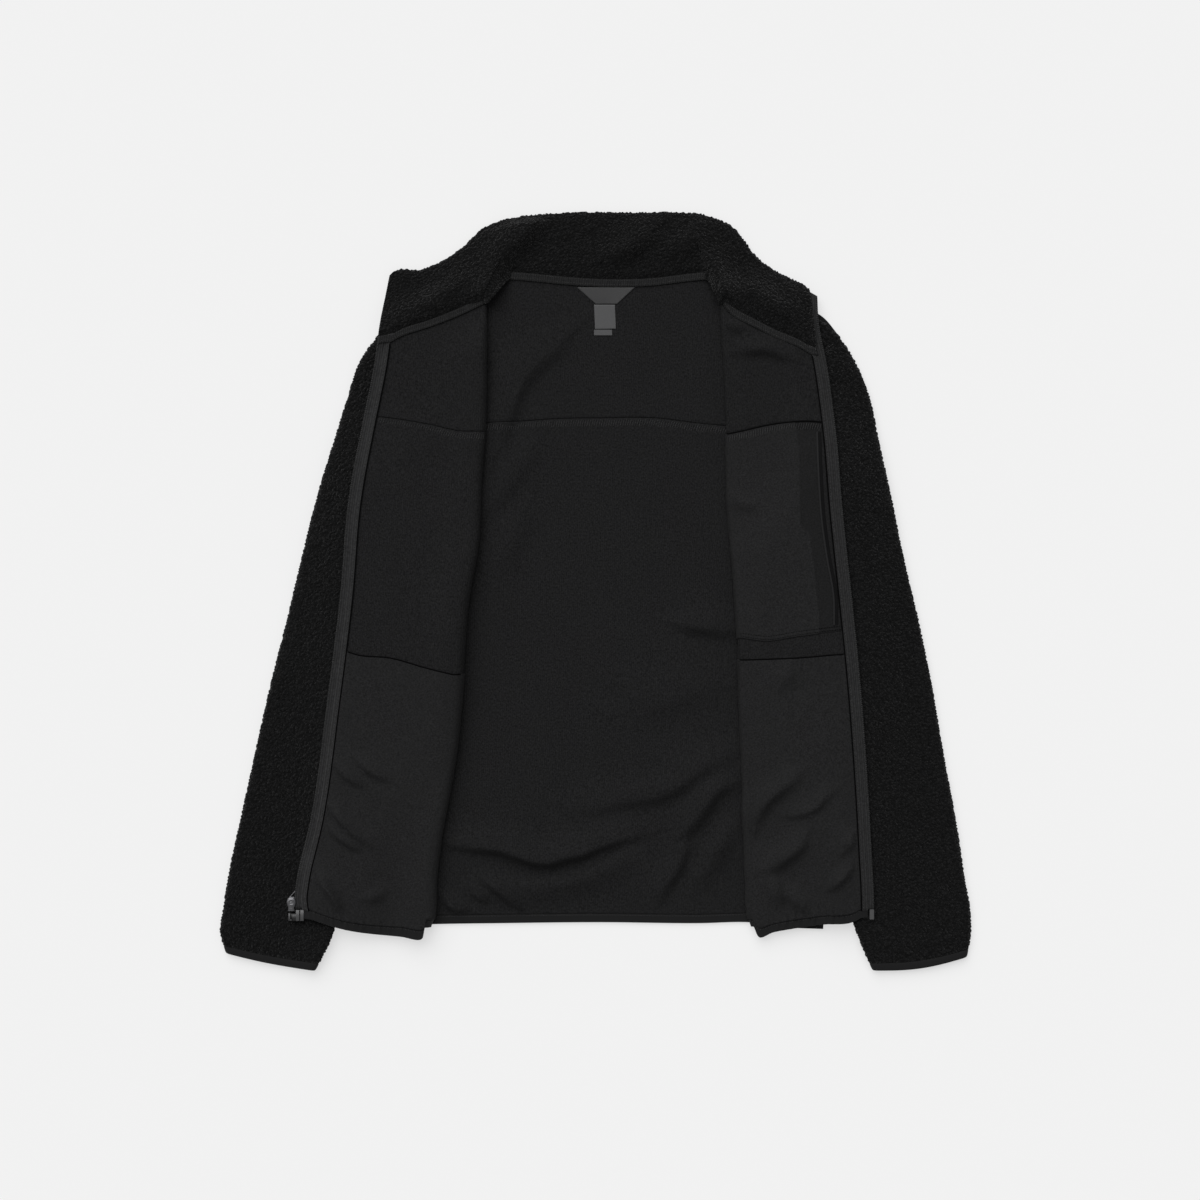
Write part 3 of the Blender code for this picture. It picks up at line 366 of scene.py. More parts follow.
def gathered(x, y, hem_y):
    """Height of the short gathers above the hem line."""
    total = np.zeros_like(x)
    above = y - hem_y
    for at, lean, long, height in GATHERS:
        across = (x - at - lean * above / long) / GATHER_WIDTH
        total += height * np.exp(-across**2) * np.clip(1 - np.abs(above) / long, 0, 1)
    far, width, lean = RIPPLE_WANDER
    wander = x + far * np.sin(x / width) + lean * above
    long, swell = (mean + change * np.sin(x / width) for mean, change, width in (RIPPLE_LONG, RIPPLE_SWELL))
    return total + RIPPLE * swell * np.sin(2 * np.pi * wander / RIPPLE_PITCH) * np.exp(-np.abs(above) / long)


def raised(plan, height):
    """Plan points with their height."""
    return np.dstack([plan, np.broadcast_to(height, plan.shape[:2])])


# ---------------------------------------------------------------- meshes

def grid_normals(grid, closed=False):
    """Unit normals of a grid, on the side that its rows turn to from its columns."""
    down = np.gradient(grid, axis=0)
    if closed:
        across = (np.roll(grid, -1, axis=1) - np.roll(grid, 1, axis=1)) / 2
    else:
        across = np.gradient(grid, axis=1)
    made = np.cross(down, across)
    return made / np.maximum(np.linalg.norm(made, axis=-1), 1e-9)[..., None]


def trimmed(grid, amount, rows, cols=(False, False)):
    """The grid with its chosen border rows and columns drawn in, to leave room for a seam."""
    grid = grid.copy()
    for axis, ends in ((0, rows), (1, cols)):
        turned = np.moveaxis(grid, axis, 0)
        for wanted, edge, inside in ((ends[0], 0, 1), (ends[1], -1, -2)):
            if wanted:
                turned[edge] += unit(turned[inside] - turned[edge]) * amount
    return grid


ROUNDING = (0.0, 0.12, 0.4, 0.95)       # where the points of a rounded edge lie, as shares of its radius
BOTH, FIRST, LAST, NEITHER = (True, True), (True, False), (False, True), (False, False)
# Rounded edges of the trims: which rows and columns, the radius, and the depth.
BAG_EDGES = (BOTH, LAST, 1.5, 0.6)
FACING_EDGES = (BOTH, FIRST, 0.6, 0.5)
NECK_TAPE_EDGES = (BOTH, NEITHER, 0.7, 0.6)
TAPE_EDGES = (NEITHER, BOTH, 0.5, 0.4)
LABEL_EDGES = (BOTH, BOTH, 0.4, 0.4)


def rounded(lower, upper, rows, cols, radius, depth):
    """Both grids with more points beside the chosen borders, where the upper one turns down to a seam.

    The depths are those at the first and at the last border.
    """
    for axis, ends in ((0, rows), (1, cols)):
        for wanted, last in ((ends[0], False), (ends[1], True)):
            if not wanted:
                continue
            low, high = np.moveaxis(lower, axis, 0), np.moveaxis(upper, axis, 0)
            if last:
                low, high = low[::-1], high[::-1]
            space = np.linalg.norm(high[1] - high[0], axis=-1)[..., None]
            new_low, new_high = [], []
            for share in ROUNDING:
                where = np.minimum(share * radius / space, 0.9)
                fall = depth[last] * (1 - math.sqrt(1 - (1 - share) ** 2))
                new_low.append(low[0] + (low[1] - low[0]) * where)
                new_high.append(high[0] + (high[1] - high[0]) * where - np.array([0, 0, fall]))
            low, high = np.concatenate([new_low, low[1:]]), np.concatenate([new_high, high[1:]])
            if last:
                low, high = low[::-1], high[::-1]
            lower, upper = np.moveaxis(low, 0, axis), np.moveaxis(high, 0, axis)
    return lower, upper


def inside_out(mesh):
    """Whether a closed mesh faces inward, or an open one down."""
    count = len(mesh.polygons)
    normal, centre, area = np.empty(3 * count), np.empty(3 * count), np.empty(count)
    mesh.polygons.foreach_get("normal", normal)
    mesh.polygons.foreach_get("center", centre)
    mesh.polygons.foreach_get("area", area)
    facing = normal.reshape(-1, 3) * area[:, None]
    total = facing.sum(axis=0)
    if np.linalg.norm(total) > 0.001 * area.sum():
        return total[2] < 0
    return (facing * centre.reshape(-1, 3)).sum() < 0


def linked(name, data):
    """A new object in the scene."""
    made = bpy.data.objects.new(name, data)
    bpy.context.scene.collection.objects.link(made)
    return made


LOOKS = {}          # the materials by name


def add_piece(name, vertices, faces, looks, indices=None, uv=None, fields=None):
    """A mesh object from points in millimetres, with materials by name."""
    mesh = bpy.data.meshes.new(name)
    mesh.from_pydata(np.asarray(vertices, float) * MM, [], faces)
    for look in looks:
        mesh.materials.append(LOOKS[look])
    if indices is not None:
        mesh.polygons.foreach_set("material_index", np.asarray(indices, np.int32))
    if inside_out(mesh):
        mesh.flip_normals()
    if uv is not None:
        layer = mesh.uv_layers.new(name="UVMap")
        corners = np.empty(len(mesh.loops), np.int32)
        mesh.loops.foreach_get("vertex_index", corners)
        layer.data.foreach_set("uv", np.asarray(uv, np.float32)[corners].ravel())
    for field, values in (fields or {}).items():
        made = mesh.attributes.new(field, "FLOAT", "POINT")
        made.data.foreach_set("value", np.asarray(values, np.float32).ravel())
    mesh.shade_smooth()
    mesh.update()
    return linked(name, mesh)


def grid_uv(grid):
    """Distance across and along a grid, in metres, for its weave."""
    across = np.concatenate([[0], np.cumsum(np.linalg.norm(np.diff(grid, axis=1), axis=-1).mean(axis=0))])
    down = np.concatenate([[0], np.cumsum(np.linalg.norm(np.diff(grid, axis=0), axis=-1).mean(axis=1))])
    return np.stack(np.broadcast_arrays(across[None, :], down[:, None]), axis=-1).reshape(-1, 2) * MM


def mean_cut(grid, closed=False):
    """Width, length and area in metres of the flat cloth that a grid was cut from."""
    if closed:
        grid = np.concatenate([grid, grid[:, :1]], axis=1)
    across, down = np.diff(grid, axis=1), np.diff(grid, axis=0)
    width = np.linalg.norm(across, axis=-1).sum(axis=1).max()
    length = np.linalg.norm(down, axis=-1).sum(axis=0).max()
    one = np.cross(across[:-1], down[:, :-1])
    other = np.cross(across[1:], down[:, 1:])
    area = (np.linalg.norm(one, axis=-1).sum() + np.linalg.norm(other, axis=-1).sum()) / 2
    return width * MM, length * MM, min(area, width * length) * MM * MM


def numbered(rows, cols, start=0):
    return start + np.arange(rows * cols).reshape(rows, cols)


def quads(index, flipped=False):
    """Faces between the points of a grid, from the grid of their indices."""
    corners = [index[:-1, :-1], index[1:, :-1], index[1:, 1:], index[:-1, 1:]]
    if flipped:
        corners[1], corners[3] = corners[3], corners[1]
    return np.stack(corners, -1).reshape(-1, 4)


def thinned(count, skip):
    """Every skip-th index of a row of points, with the last one."""
    kept = list(range(0, count, skip))
    if kept[-1] != count - 1:
        kept.append(count - 1)
    return kept


def skin(name, upper, kept, below, top, rest, looks, fields, hidden=None):
    """A cloth from the points and faces of its upper side and of the rest, which has only the kept points."""
    uv = grid_uv(upper)
    uv = np.concatenate([uv, uv.reshape(*upper.shape[:2], 2)[kept].reshape(-1, 2)])
    full = {}
    for field, values in fields.items():
        beneath = values[kept].ravel() if hidden is None else np.full(values[kept].size, hidden)
        full[field] = np.concatenate([values.ravel(), beneath])
    indices = [0] * len(top) + [len(looks) - 1] * len(rest)
    vertices = np.vstack([upper.reshape(-1, 3), below.reshape(-1, 3)])
    return add_piece(name, vertices, top.tolist() + rest, looks, indices, uv, full)


def wall(name, lower, upper, looks, skip, fields=None):
    """A cloth wall between two grids. The lower one keeps only some of its rows and columns."""
    rows, cols = upper.shape[:2]
    kept_rows, kept_cols = thinned(rows, skip[0]), thinned(cols, skip[1])
    index, under = numbered(rows, cols), numbered(len(kept_rows), len(kept_cols), rows * cols)
    rims = []
    for kept, border, beneath, flip in ((kept_cols, index[0], under[0], True),
                                        (kept_cols, index[-1], under[-1], False),
                                        (kept_rows, index[:, 0], under[:, 0], False),
                                        (kept_rows, index[:, -1], under[:, -1], True)):
        for i, (start, end) in enumerate(zip(kept, kept[1:])):
            face = [int(beneath[i]), int(beneath[i + 1])] + [int(v) for v in border[start:end + 1][::-1]]
            rims.append(face[::-1] if flip else face)
    kept = np.ix_(kept_rows, kept_cols)
    return skin(name, upper, kept, lower[kept], quads(index), quads(under, True).tolist() + rims, looks,
                fields or {})


def dress(piece, slot, *nodes, body="jacket"):
    """Ties a piece to its body and hides the model's nodes that it stands for; the slot is not used."""
    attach(piece, body)
    if nodes:
        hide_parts(*nodes)
    return piece


def bound(cut):
    """The cut of a binding, whose cloth also turns round the edge."""
    width, length, area = cut
    turned = length + SHERPA * MM
    return width, turned, area * turned / length


def trim(name, near, far, looks, skip, edges, slot="ribbed_tape", fields=None):
    """A narrow or thin piece whose upper face is rounded at some of its edges."""
    rows, cols, radius, fall = edges
    near, far = rounded(near, far, rows, cols, radius, (fall, fall))
    return dress(wall(name + "_cloth", near, far, looks, skip, fields), slot, name)


# ---------------------------------------------------------------- stitches

def row_line(grid, position):
    """The line across a grid at a fractional row."""
    low = min(int(position), len(grid) - 2)
    return grid[low] + (grid[low + 1] - grid[low]) * (position - low)


def column_line(grid, position):
    """The line down a grid at a fractional column."""
    return row_line(np.moveaxis(grid, 1, 0), position)


# Stitches: pitch, length and thickness.
SERGING, SERGING_LEAN, SERGING_ROW = (2.5, 7.4, 0.24), 1.32, 1.75      # overlock stitches below the yokes
HEM_STITCH, HEM_STITCH_ROW = (3.0, 2.3, 0.2), 0.9
ZIP_STITCH, ZIP_STITCH_COLUMN = (3.0, 2.3, 0.32), 1.9
NECK_STITCH, NECK_STITCH_ROWS = (3.0, 2.3, 0.26), (1.5, 6.4)
CHEST_STITCH, CHEST_STITCH_ROWS = (2.6, 2.1, 0.3), (0.6, 1.7)
ARMHOLE_STITCH = (3.0, 2.4, 0.35)
# A stitch's sections, as their place along it and their size, and the corners of each.
BAR_ALONG = [(-1.0, 0.0), (-0.8, 0.75), (0.0, 1.0), (0.8, 0.75), (1.0, 0.0)]
BAR_AROUND = [(1.0, 0.0), (0.0, 1.0), (-1.0, 0.0), (0.0, -0.4)]


def stitches(name, lines, stitch, turn=0.0, slot="ribbed_tape", look="thread"):
    """Stitches along lines on a surface, each a small rounded bar, turned from the line by an angle."""
    pitch, long, thick = stitch
    shape = np.array([(t, a * r, u * r) for t, r in BAR_ALONG for a, u in BAR_AROUND])
    bar = quads(np.pad(numbered(len(BAR_ALONG), len(BAR_AROUND)), ((0, 0), (0, 1)), mode="wrap"), True)
    points = []
    for line in lines:
        count = max(2, int(length_of(line) / pitch))
        before, middle, after = (at_shares(line, np.clip((np.arange(count) + place) / count, 0, 1))
                                 for place in (0.3, 0.5, 0.7))
        run = unit(after - before)
        side = unit(np.column_stack([-run[:, 1], run[:, 0], np.zeros(count)]))
        along = run * math.cos(turn) + side * math.sin(turn)
        across = np.cross([0, 0, 1.0], along)
        over = np.cross(along, across)
        made = (middle[:, None] + along[:, None] * (shape[:, 0] * long / 2)[None, :, None]
                + across[:, None] * (shape[:, 1] * thick)[None, :, None]
                + over[:, None] * (shape[:, 2] * thick)[None, :, None])
        points.append(made.reshape(-1, 3))
    points = np.vstack(points)
    faces = (np.arange(0, len(points), len(shape))[:, None, None] + bar[None]).reshape(-1, 4)
    return dress(add_piece(name, points, faces.tolist(), [look]), slot)


BEAD_SUNK = 0.15    # how deep a bead's edges lie in the cloth


def bead(name, line, half_width, height, look, slot):
    """A low rounded ridge along a line on a surface, such as a turned edge of tape."""
    side = np.column_stack([-normals(line[:, :2]), np.zeros(len(line))])
    grid = np.stack([line + side * (half_width * math.cos(angle)) + up(height * math.sin(angle) - BEAD_SUNK)
                     for angle in np.linspace(0, math.pi, 7)], axis=1)
    faces = quads(numbered(*grid.shape[:2])).tolist()
    return dress(add_piece(name, grid.reshape(-1, 3), faces, [look], uv=grid_uv(grid)), slot)


# ---------------------------------------------------------------- pile

def random_waves(count, wavelength, seed):
    """Directions and phases of plane waves of about one wavelength."""
    source = np.random.default_rng(seed)
    direction = unit(source.normal(size=(count, 3)))
    number = 2 * np.pi / (wavelength * source.uniform(0.82, 1.22, count))
    return direction * number[:, None], source.uniform(0, 2 * np.pi, count)


def wave_sum(points, count, wavelength, seed):
    """A smooth random field of one grain size, about -1 to 1."""
    vectors, phases = random_waves(count, wavelength, seed)
    total = np.zeros(points.shape[:-1])
    for vector, phase in zip(vectors, phases):
        total += np.cos(points @ vector + phase)
    return total / math.sqrt(count)


CURL = 3.3          # size of one curl of the pile
CURL_WAVES, CURL_SEED, CURL_EDGE = 20, 21, 1.5      # the last: how sharply tufts fall to the pits
# What draws the curls out of line: how far, the size and number of its waves, and their seeds.
WARP, WARP_SIZE, WARP_WAVES, WARP_SEEDS = 1.2, 9.0, 7, (11, 12, 13)


def curls(points):
    """Height of the curly pile, 0 in its pits to 1 on its tufts."""
    warp = np.stack([wave_sum(points, WARP_WAVES, WARP_SIZE, seed) for seed in WARP_SEEDS], axis=-1)
    return 0.5 + 0.5 * np.tanh(CURL_EDGE * wave_sum(points + WARP * warp, CURL_WAVES, CURL, CURL_SEED))


# ---------------------------------------------------------------- materials

class Maker:
    """Builds a material's nodes one by one."""

    def __init__(self, name, colour, roughness, **sockets):
        self.material = bpy.data.materials.new(name)
        self.material.use_nodes = True
        self.nodes = self.material.node_tree.nodes
        self.links = self.material.node_tree.links
        self.shader = self.nodes["Principled BSDF"]
        self.shader.inputs["Base Color"].default_value = (*colour, 1.0)
        self.shader.inputs["Roughness"].default_value = roughness
        for socket, value in sockets.items():
            self.shader.inputs[socket].default_value = value
        self.colour = colour
        self.height = None
        self.tone = None

    def add(self, kind, **settings):
        node = self.nodes.new("ShaderNode" + kind)
        for key, value in settings.items():
            if key in node.inputs:
                node.inputs[key].default_value = value
            else:
                setattr(node, key, value)
        return node

    def math(self, operation, first, second):
        node = self.add("Math", operation=operation)
        for socket, value in zip(node.inputs, (first, second)):
            if isinstance(value, (int, float)):
                socket.default_value = value
            else:
                self.links.new(value, socket)
        return node.outputs[0]

    def place(self, source="Object", scale=(1, 1, 1)):
        """Coordinates in metres, scaled."""
        mapping = self.add("Mapping", Scale=scale)
        self.links.new(self.add("TexCoord").outputs[source], mapping.inputs["Vector"])
        return mapping.outputs[0]

    def ranged(self, value, low, high, start, end):
        """Low to high as the value goes from start to end."""
        node = self.add("MapRange", **{"From Min": start, "From Max": end, "To Min": low, "To Max": high})
        self.links.new(value, node.inputs["Value"])
        return node.outputs["Result"]

    def noise(self, scale, detail=2.0, roughness=0.5, stretch=(1, 1, 1)):
        node = self.add("TexNoise", Scale=scale, Detail=detail, Roughness=roughness)
        self.links.new(self.place("Object", stretch), node.inputs["Vector"])
        return node.outputs["Fac"]

    def wave(self, period, direction, distortion=0.0, detail=2.0, detail_scale=1.0):
        """Even ribs of a period in metres, across or along the cloth."""
        node = self.add("TexWave", bands_direction=direction, Scale=math.pi / 10 / period,
                        Distortion=distortion, Detail=detail, **{"Detail Scale": detail_scale})
        self.links.new(self.place("UV"), node.inputs["Vector"])
        return node.outputs["Fac"]

    def weave(self, period, distortion, detail):
        """Threads that cross, at a period in metres."""
        return self.math("MULTIPLY", *(self.wave(period, way, distortion, detail) for way in "XY"))

    def nubs(self, size):
        """Small round tufts of a size in metres with pits between them, from 0 to 1."""
        spread = self.add("TexNoise", Scale=NUB_SPREAD, Detail=2.0)
        place = self.place()
        self.links.new(place, spread.inputs["Vector"])
        shift = self.add("VectorMath", operation="MULTIPLY_ADD")
        self.links.new(spread.outputs["Color"], shift.inputs[0])
        shift.inputs[1].default_value = (size * NUB_SHIFT,) * 3
        self.links.new(place, shift.inputs[2])
        cells = self.add("TexVoronoi", Scale=1 / size)
        self.links.new(shift.outputs[0], cells.inputs["Vector"])
        return self.ranged(cells.outputs["Distance"], 0, 1, *NUB_EDGE)

    def attribute(self, name):
        return self.add("Attribute", attribute_name=name).outputs["Fac"]

    def layer(self, kind, settings, tones, depth):
        """Multiplies the colour by some tones of a texture, and adds its relief of a depth in metres."""
        value = getattr(self, kind)(*settings)
        if tones:
            made = self.ranged(value, *tones, *(() if len(tones) == 4 else (0.0, 1.0)))
            self.tone = made if self.tone is None else self.math("MULTIPLY", self.tone, made)
        if depth:
            made = self.math("MULTIPLY", value, depth)
            self.height = made if self.height is None else self.math("ADD", self.height, made)

    def done(self):
        if self.tone is not None:
            scale = self.add("VectorMath", operation="SCALE")
            scale.inputs[0].default_value = self.colour
            self.links.new(self.tone, scale.inputs["Scale"])
            self.links.new(scale.outputs[0], self.shader.inputs["Base Color"])
        if self.height is not None:
            bump = self.add("Bump", Strength=1.0, Distance=1.0)
            self.links.new(self.height, bump.inputs["Height"])
            self.links.new(bump.outputs["Normal"], self.shader.inputs["Normal"])
        return self.material


NUB_SPREAD, NUB_SHIFT, NUB_EDGE = 420.0, 0.9, (0.62, 0.12)
SHEEN_ROUGHNESS = 0.45
CLOTH_TINT = (1, 1, 1.03)
PLASTIC_TINT = (1, 1, 1.02)

# Layers: kind of texture, its settings, tones from low to high, at what values, and depth in metres.
BROKEN = (0.3, 1.7, 0.3, 0.7)
CURLY = ("noise", (1500, 4, 0.65), None, 0.0004)
RIBS = [("wave", (0.0024, "X", 0.4, 1.0), (0.66, 1.2), 0.0004),
        ("wave", (0.0009, "Y"), (0.92, 1.08), 0.00006), ("noise", (420, 3), (0.6, 1.4, 0.3, 0.7), 0)]
FLOATS = [("wave", (0.0005, "X", 0.6, 1.0), (0.92, 1.08), 0.00003), ("noise", (300, 3), (0.92, 1.08), 0)]
TWIST = [("noise", (2500, 2), (0.8, 1.2), 0.0001)]
GRAIN = [("noise", (1500, 3, 0.6), (0.85, 1.15), 0.00002)]
METAL_GRAIN = [("noise", (900, 4, 0.6), (0.8, 1.2), 0.00002)]

# Cloths: name, grey, roughness, sheen, specular level and layers.
CLOTHS = [
    ("fleece_inside", 0.0099, 0.92, 0.01, 0.1, [
        ("wave", (0.0021, "X", 2.2, 3.0, 2.0), (0.9, 1.1), 0.0001),
        ("noise", (620, 4, 0.7, (1, 0.8, 1)), BROKEN, 0.0005), ("noise", (16, 3), (0.93, 1.07), 0)]),
    # In both sherpas the pile height and the nubs make the colour darker in the pits and lighter on the
    # tufts: painted shade in the pits and painted light on the tufts. Their relief is real bump.
    ("sherpa", 0.0052, 0.9, 0.08, 0.1, [
        ("attribute", ("pile",), (0.6, 1.4), 0), ("nubs", (0.002,), (0.45, 1.65), 0.0011),
        ("noise", (30, 3), (0.86, 1.14), 0), CURLY]),
    ("sherpa_under", 0.0075, 0.9, 0.08, 0.12, [("nubs", (0.003,), (0.15, 2.1), 0.0011), CURLY]),
    ("ribbed_tape", 0.0155, 0.75, 0.1, 0.16, RIBS),
    ("neck_tape", 0.0092, 0.75, 0.1, 0.16, RIBS),
    ("elastic_binding", 0.0074, 0.85, 0.1, 0.15, [
        ("wave", (0.0011, "Y", 0.5, 1.0), (0.85, 1.15), 0.00012), ("noise", (1300, 2), (0.85, 1.15), 0)]),
    ("woven_pocketing", 0.0114, 0.85, 0.01, 0.14, [
        # The band attribute darkens the chest bag's sunken band to 0.7 of its colour: painted shade.
        ("weave", (0.0008, 0.3, 1.0), (0.85, 1.18), 0.0001), ("attribute", ("band",), (1.0, 0.7), 0),
        ("noise", (640, 4, 0.7), BROKEN, 0), ("noise", (14, 3), (0.92, 1.08), 0)]),
    ("label_satin", 0.0165, 0.5, 0.1, 0.4, FLOATS),
    ("label_tab", 0.048, 0.5, 0.1, 0.4, FLOATS),
    ("thread", 0.0115, 0.6, 0.1, 0.3, TWIST),
    # Near black: thread of the chest stitches, and painted shadow lines along the lower bags' top, the right
    # yoke seam and the facings' inner edges.
    ("seam_thread_and_painted_shade", 0.0016, 0.6, 0.0, 0.02, TWIST),
    # Dark strip laid beside the chest ridge: painted shade.
    ("pocket_shade", 0.0058, 0.6, 0.0, 0.02, TWIST),
    ("pocket_rim", 0.0126, 0.6, 0.02, 0.1, TWIST),
]


def make_look(name, grey, tint, roughness, layers, **sockets):
    made = Maker(name, tuple(grey * share for share in tint), roughness, **sockets)
    for layer in layers:
        made.layer(*layer)
    LOOKS[name] = made.done()


def make_looks():
    """All materials of the jacket."""
    for name, grey, roughness, sheen, specular, layers in CLOTHS:
        make_look(name, grey, CLOTH_TINT, roughness, layers, **{
            "Specular IOR Level": specular, "Sheen Weight": sheen, "Sheen Roughness": SHEEN_ROUGHNESS})
    make_look("gunmetal", 0.12, (1, 1, 0.125 / 0.12), 0.38, METAL_GRAIN, Metallic=1.0)
    make_look("black_plastic", 0.045, PLASTIC_TINT, 0.4, GRAIN)
    # A near-black copy of the black plastic for the box's sunken plate: painted shade in its recess.
    make_look("plastic_recess", 0.006, PLASTIC_TINT, 0.4, GRAIN)


# ---------------------------------------------------------------- back

def side_rows(side):
    """Rows along a side edge, with every seam on a row of its own."""
    line = smooth_line(SIDE[side])
    lines = FRONT_LINES[side]
    line[0, 1] = lines[0][1]
    rows = [line[:1]]
    for above, here in zip(lines, lines[1:]):
        y_from = line[0, 1] if above is lines[0] else above[1]
        rows.append(between(line, y_from, here[1], ROWS_BETWEEN[here[0]])[1:])
    return np.vstack(rows)


def neck_row():
    """Top edge of the back: shoulder, neck corner, neck, neck corner, shoulder."""
    lines = (SHOULDER["left"], NECK_BACK, SHOULDER["right"])
    left, neck, right = (evenly(smooth_line(line), spans) for line, spans in zip(lines, NECK_SPANS))
    corners = [(left[-1] + neck[0]) / 2, (neck[-1] + right[0]) / 2]
    return np.vstack([left, corners[:1], neck, corners[1:], right])


def back_grid():
    """Plan points of the whole back, in rows from the neck to the hem."""
    top = neck_row()
    left, right = side_rows("left"), side_rows("right")
    share = np.linspace(0, 1, len(top))
    yoke = at_shares(smooth_line([left[YOKE_ROW], *YOKE_BACK, right[YOKE_ROW]]), share)
    hem = at_shares(smooth_line(HEM_BACK), share)
    hem[0], hem[-1] = left[HEM_ROW], right[HEM_ROW]
    binding = hem + np.array([0, BINDING])
    binding[0], binding[-1] = left[BINDING_ROW], right[BINDING_ROW]
    rows = [top[None]]
    stops = [(0, top), (YOKE_ROW, yoke), (BINDING_ROW, binding), (HEM_ROW, hem)]
    for (start, upper), (end, lower) in zip(stops, stops[1:]):
        rows.append(patch(upper, lower, left[start:end + 1], right[start:end + 1])[1:])
    return np.vstack(rows)


BACK_SHOWN = (-128.0, 150.0)        # the X between which the fronts leave the back's yoke seam in view
SEAM_RADIUS = 1.2                   # of the groove's rounding


def build_panels(names, lower, upper, skip, depths):
    """Yoke, body and hem binding of the back or of a front, between its two faces.

    The depths are those of the grooves at each panel's upper and lower edge, or None where it has no groove.
    """
    stops = (0, YOKE_ROW, BINDING_ROW, HEM_ROW)
    for name, start, end, depth in zip(names, stops, stops[1:], depths):
        seams = (start > 0, end < HEM_ROW)
        low, high = (trimmed(grid[start:end + 1], SEWN, seams) for grid in (lower, upper))
        cut = mean_cut((low + high) / 2)
        looks = ["fleece_inside", "sherpa_under"]
        if end == HEM_ROW:
            cut, looks = bound(cut), ["elastic_binding"]
        low, high = rounded(low, high, (depth[0] is not None, True), NEITHER, SEAM_RADIUS, depth)
        piece = dress(wall(name + "_cloth", low, high, looks, skip), looks[0], name)


def build_back():
    plan = back_grid()
    x, y = plan[..., 0], plan[..., 1]
    base = creased(x, y, BACK_FOLDS)
    lower, upper = raised(plan, base), raised(plan, base + SHERPA)
    build_panels(("back_yoke", "back_body", "hem_binding_back"), lower, upper, (2, 2),
                 [(SEAM_DEPTH, SEAM_DEPTH)] * 3)
    shown = (x[YOKE_ROW] > BACK_SHOWN[0]) & (x[YOKE_ROW] < BACK_SHOWN[1])
    stitches("yoke_serging_back", [row_line(upper, YOKE_ROW + SERGING_ROW)[shown]], SERGING, SERGING_LEAN,
             "fleece_inside")
    stitches("hem_stitches_back", [row_line(upper, BINDING_ROW + HEM_STITCH_ROW)], HEM_STITCH,
             slot="elastic_binding")


# ---------------------------------------------------------------- fronts

ROOM_AT_FACING = 8.0        # a line's points nearer to the facing than this are left out


def fold_swell(side, y):
    """How much a front bulges at its fold, at each y."""
    start, width = SWELL_FADE
    return FOLD_SWELL[side][0] * step((start - y) / width)


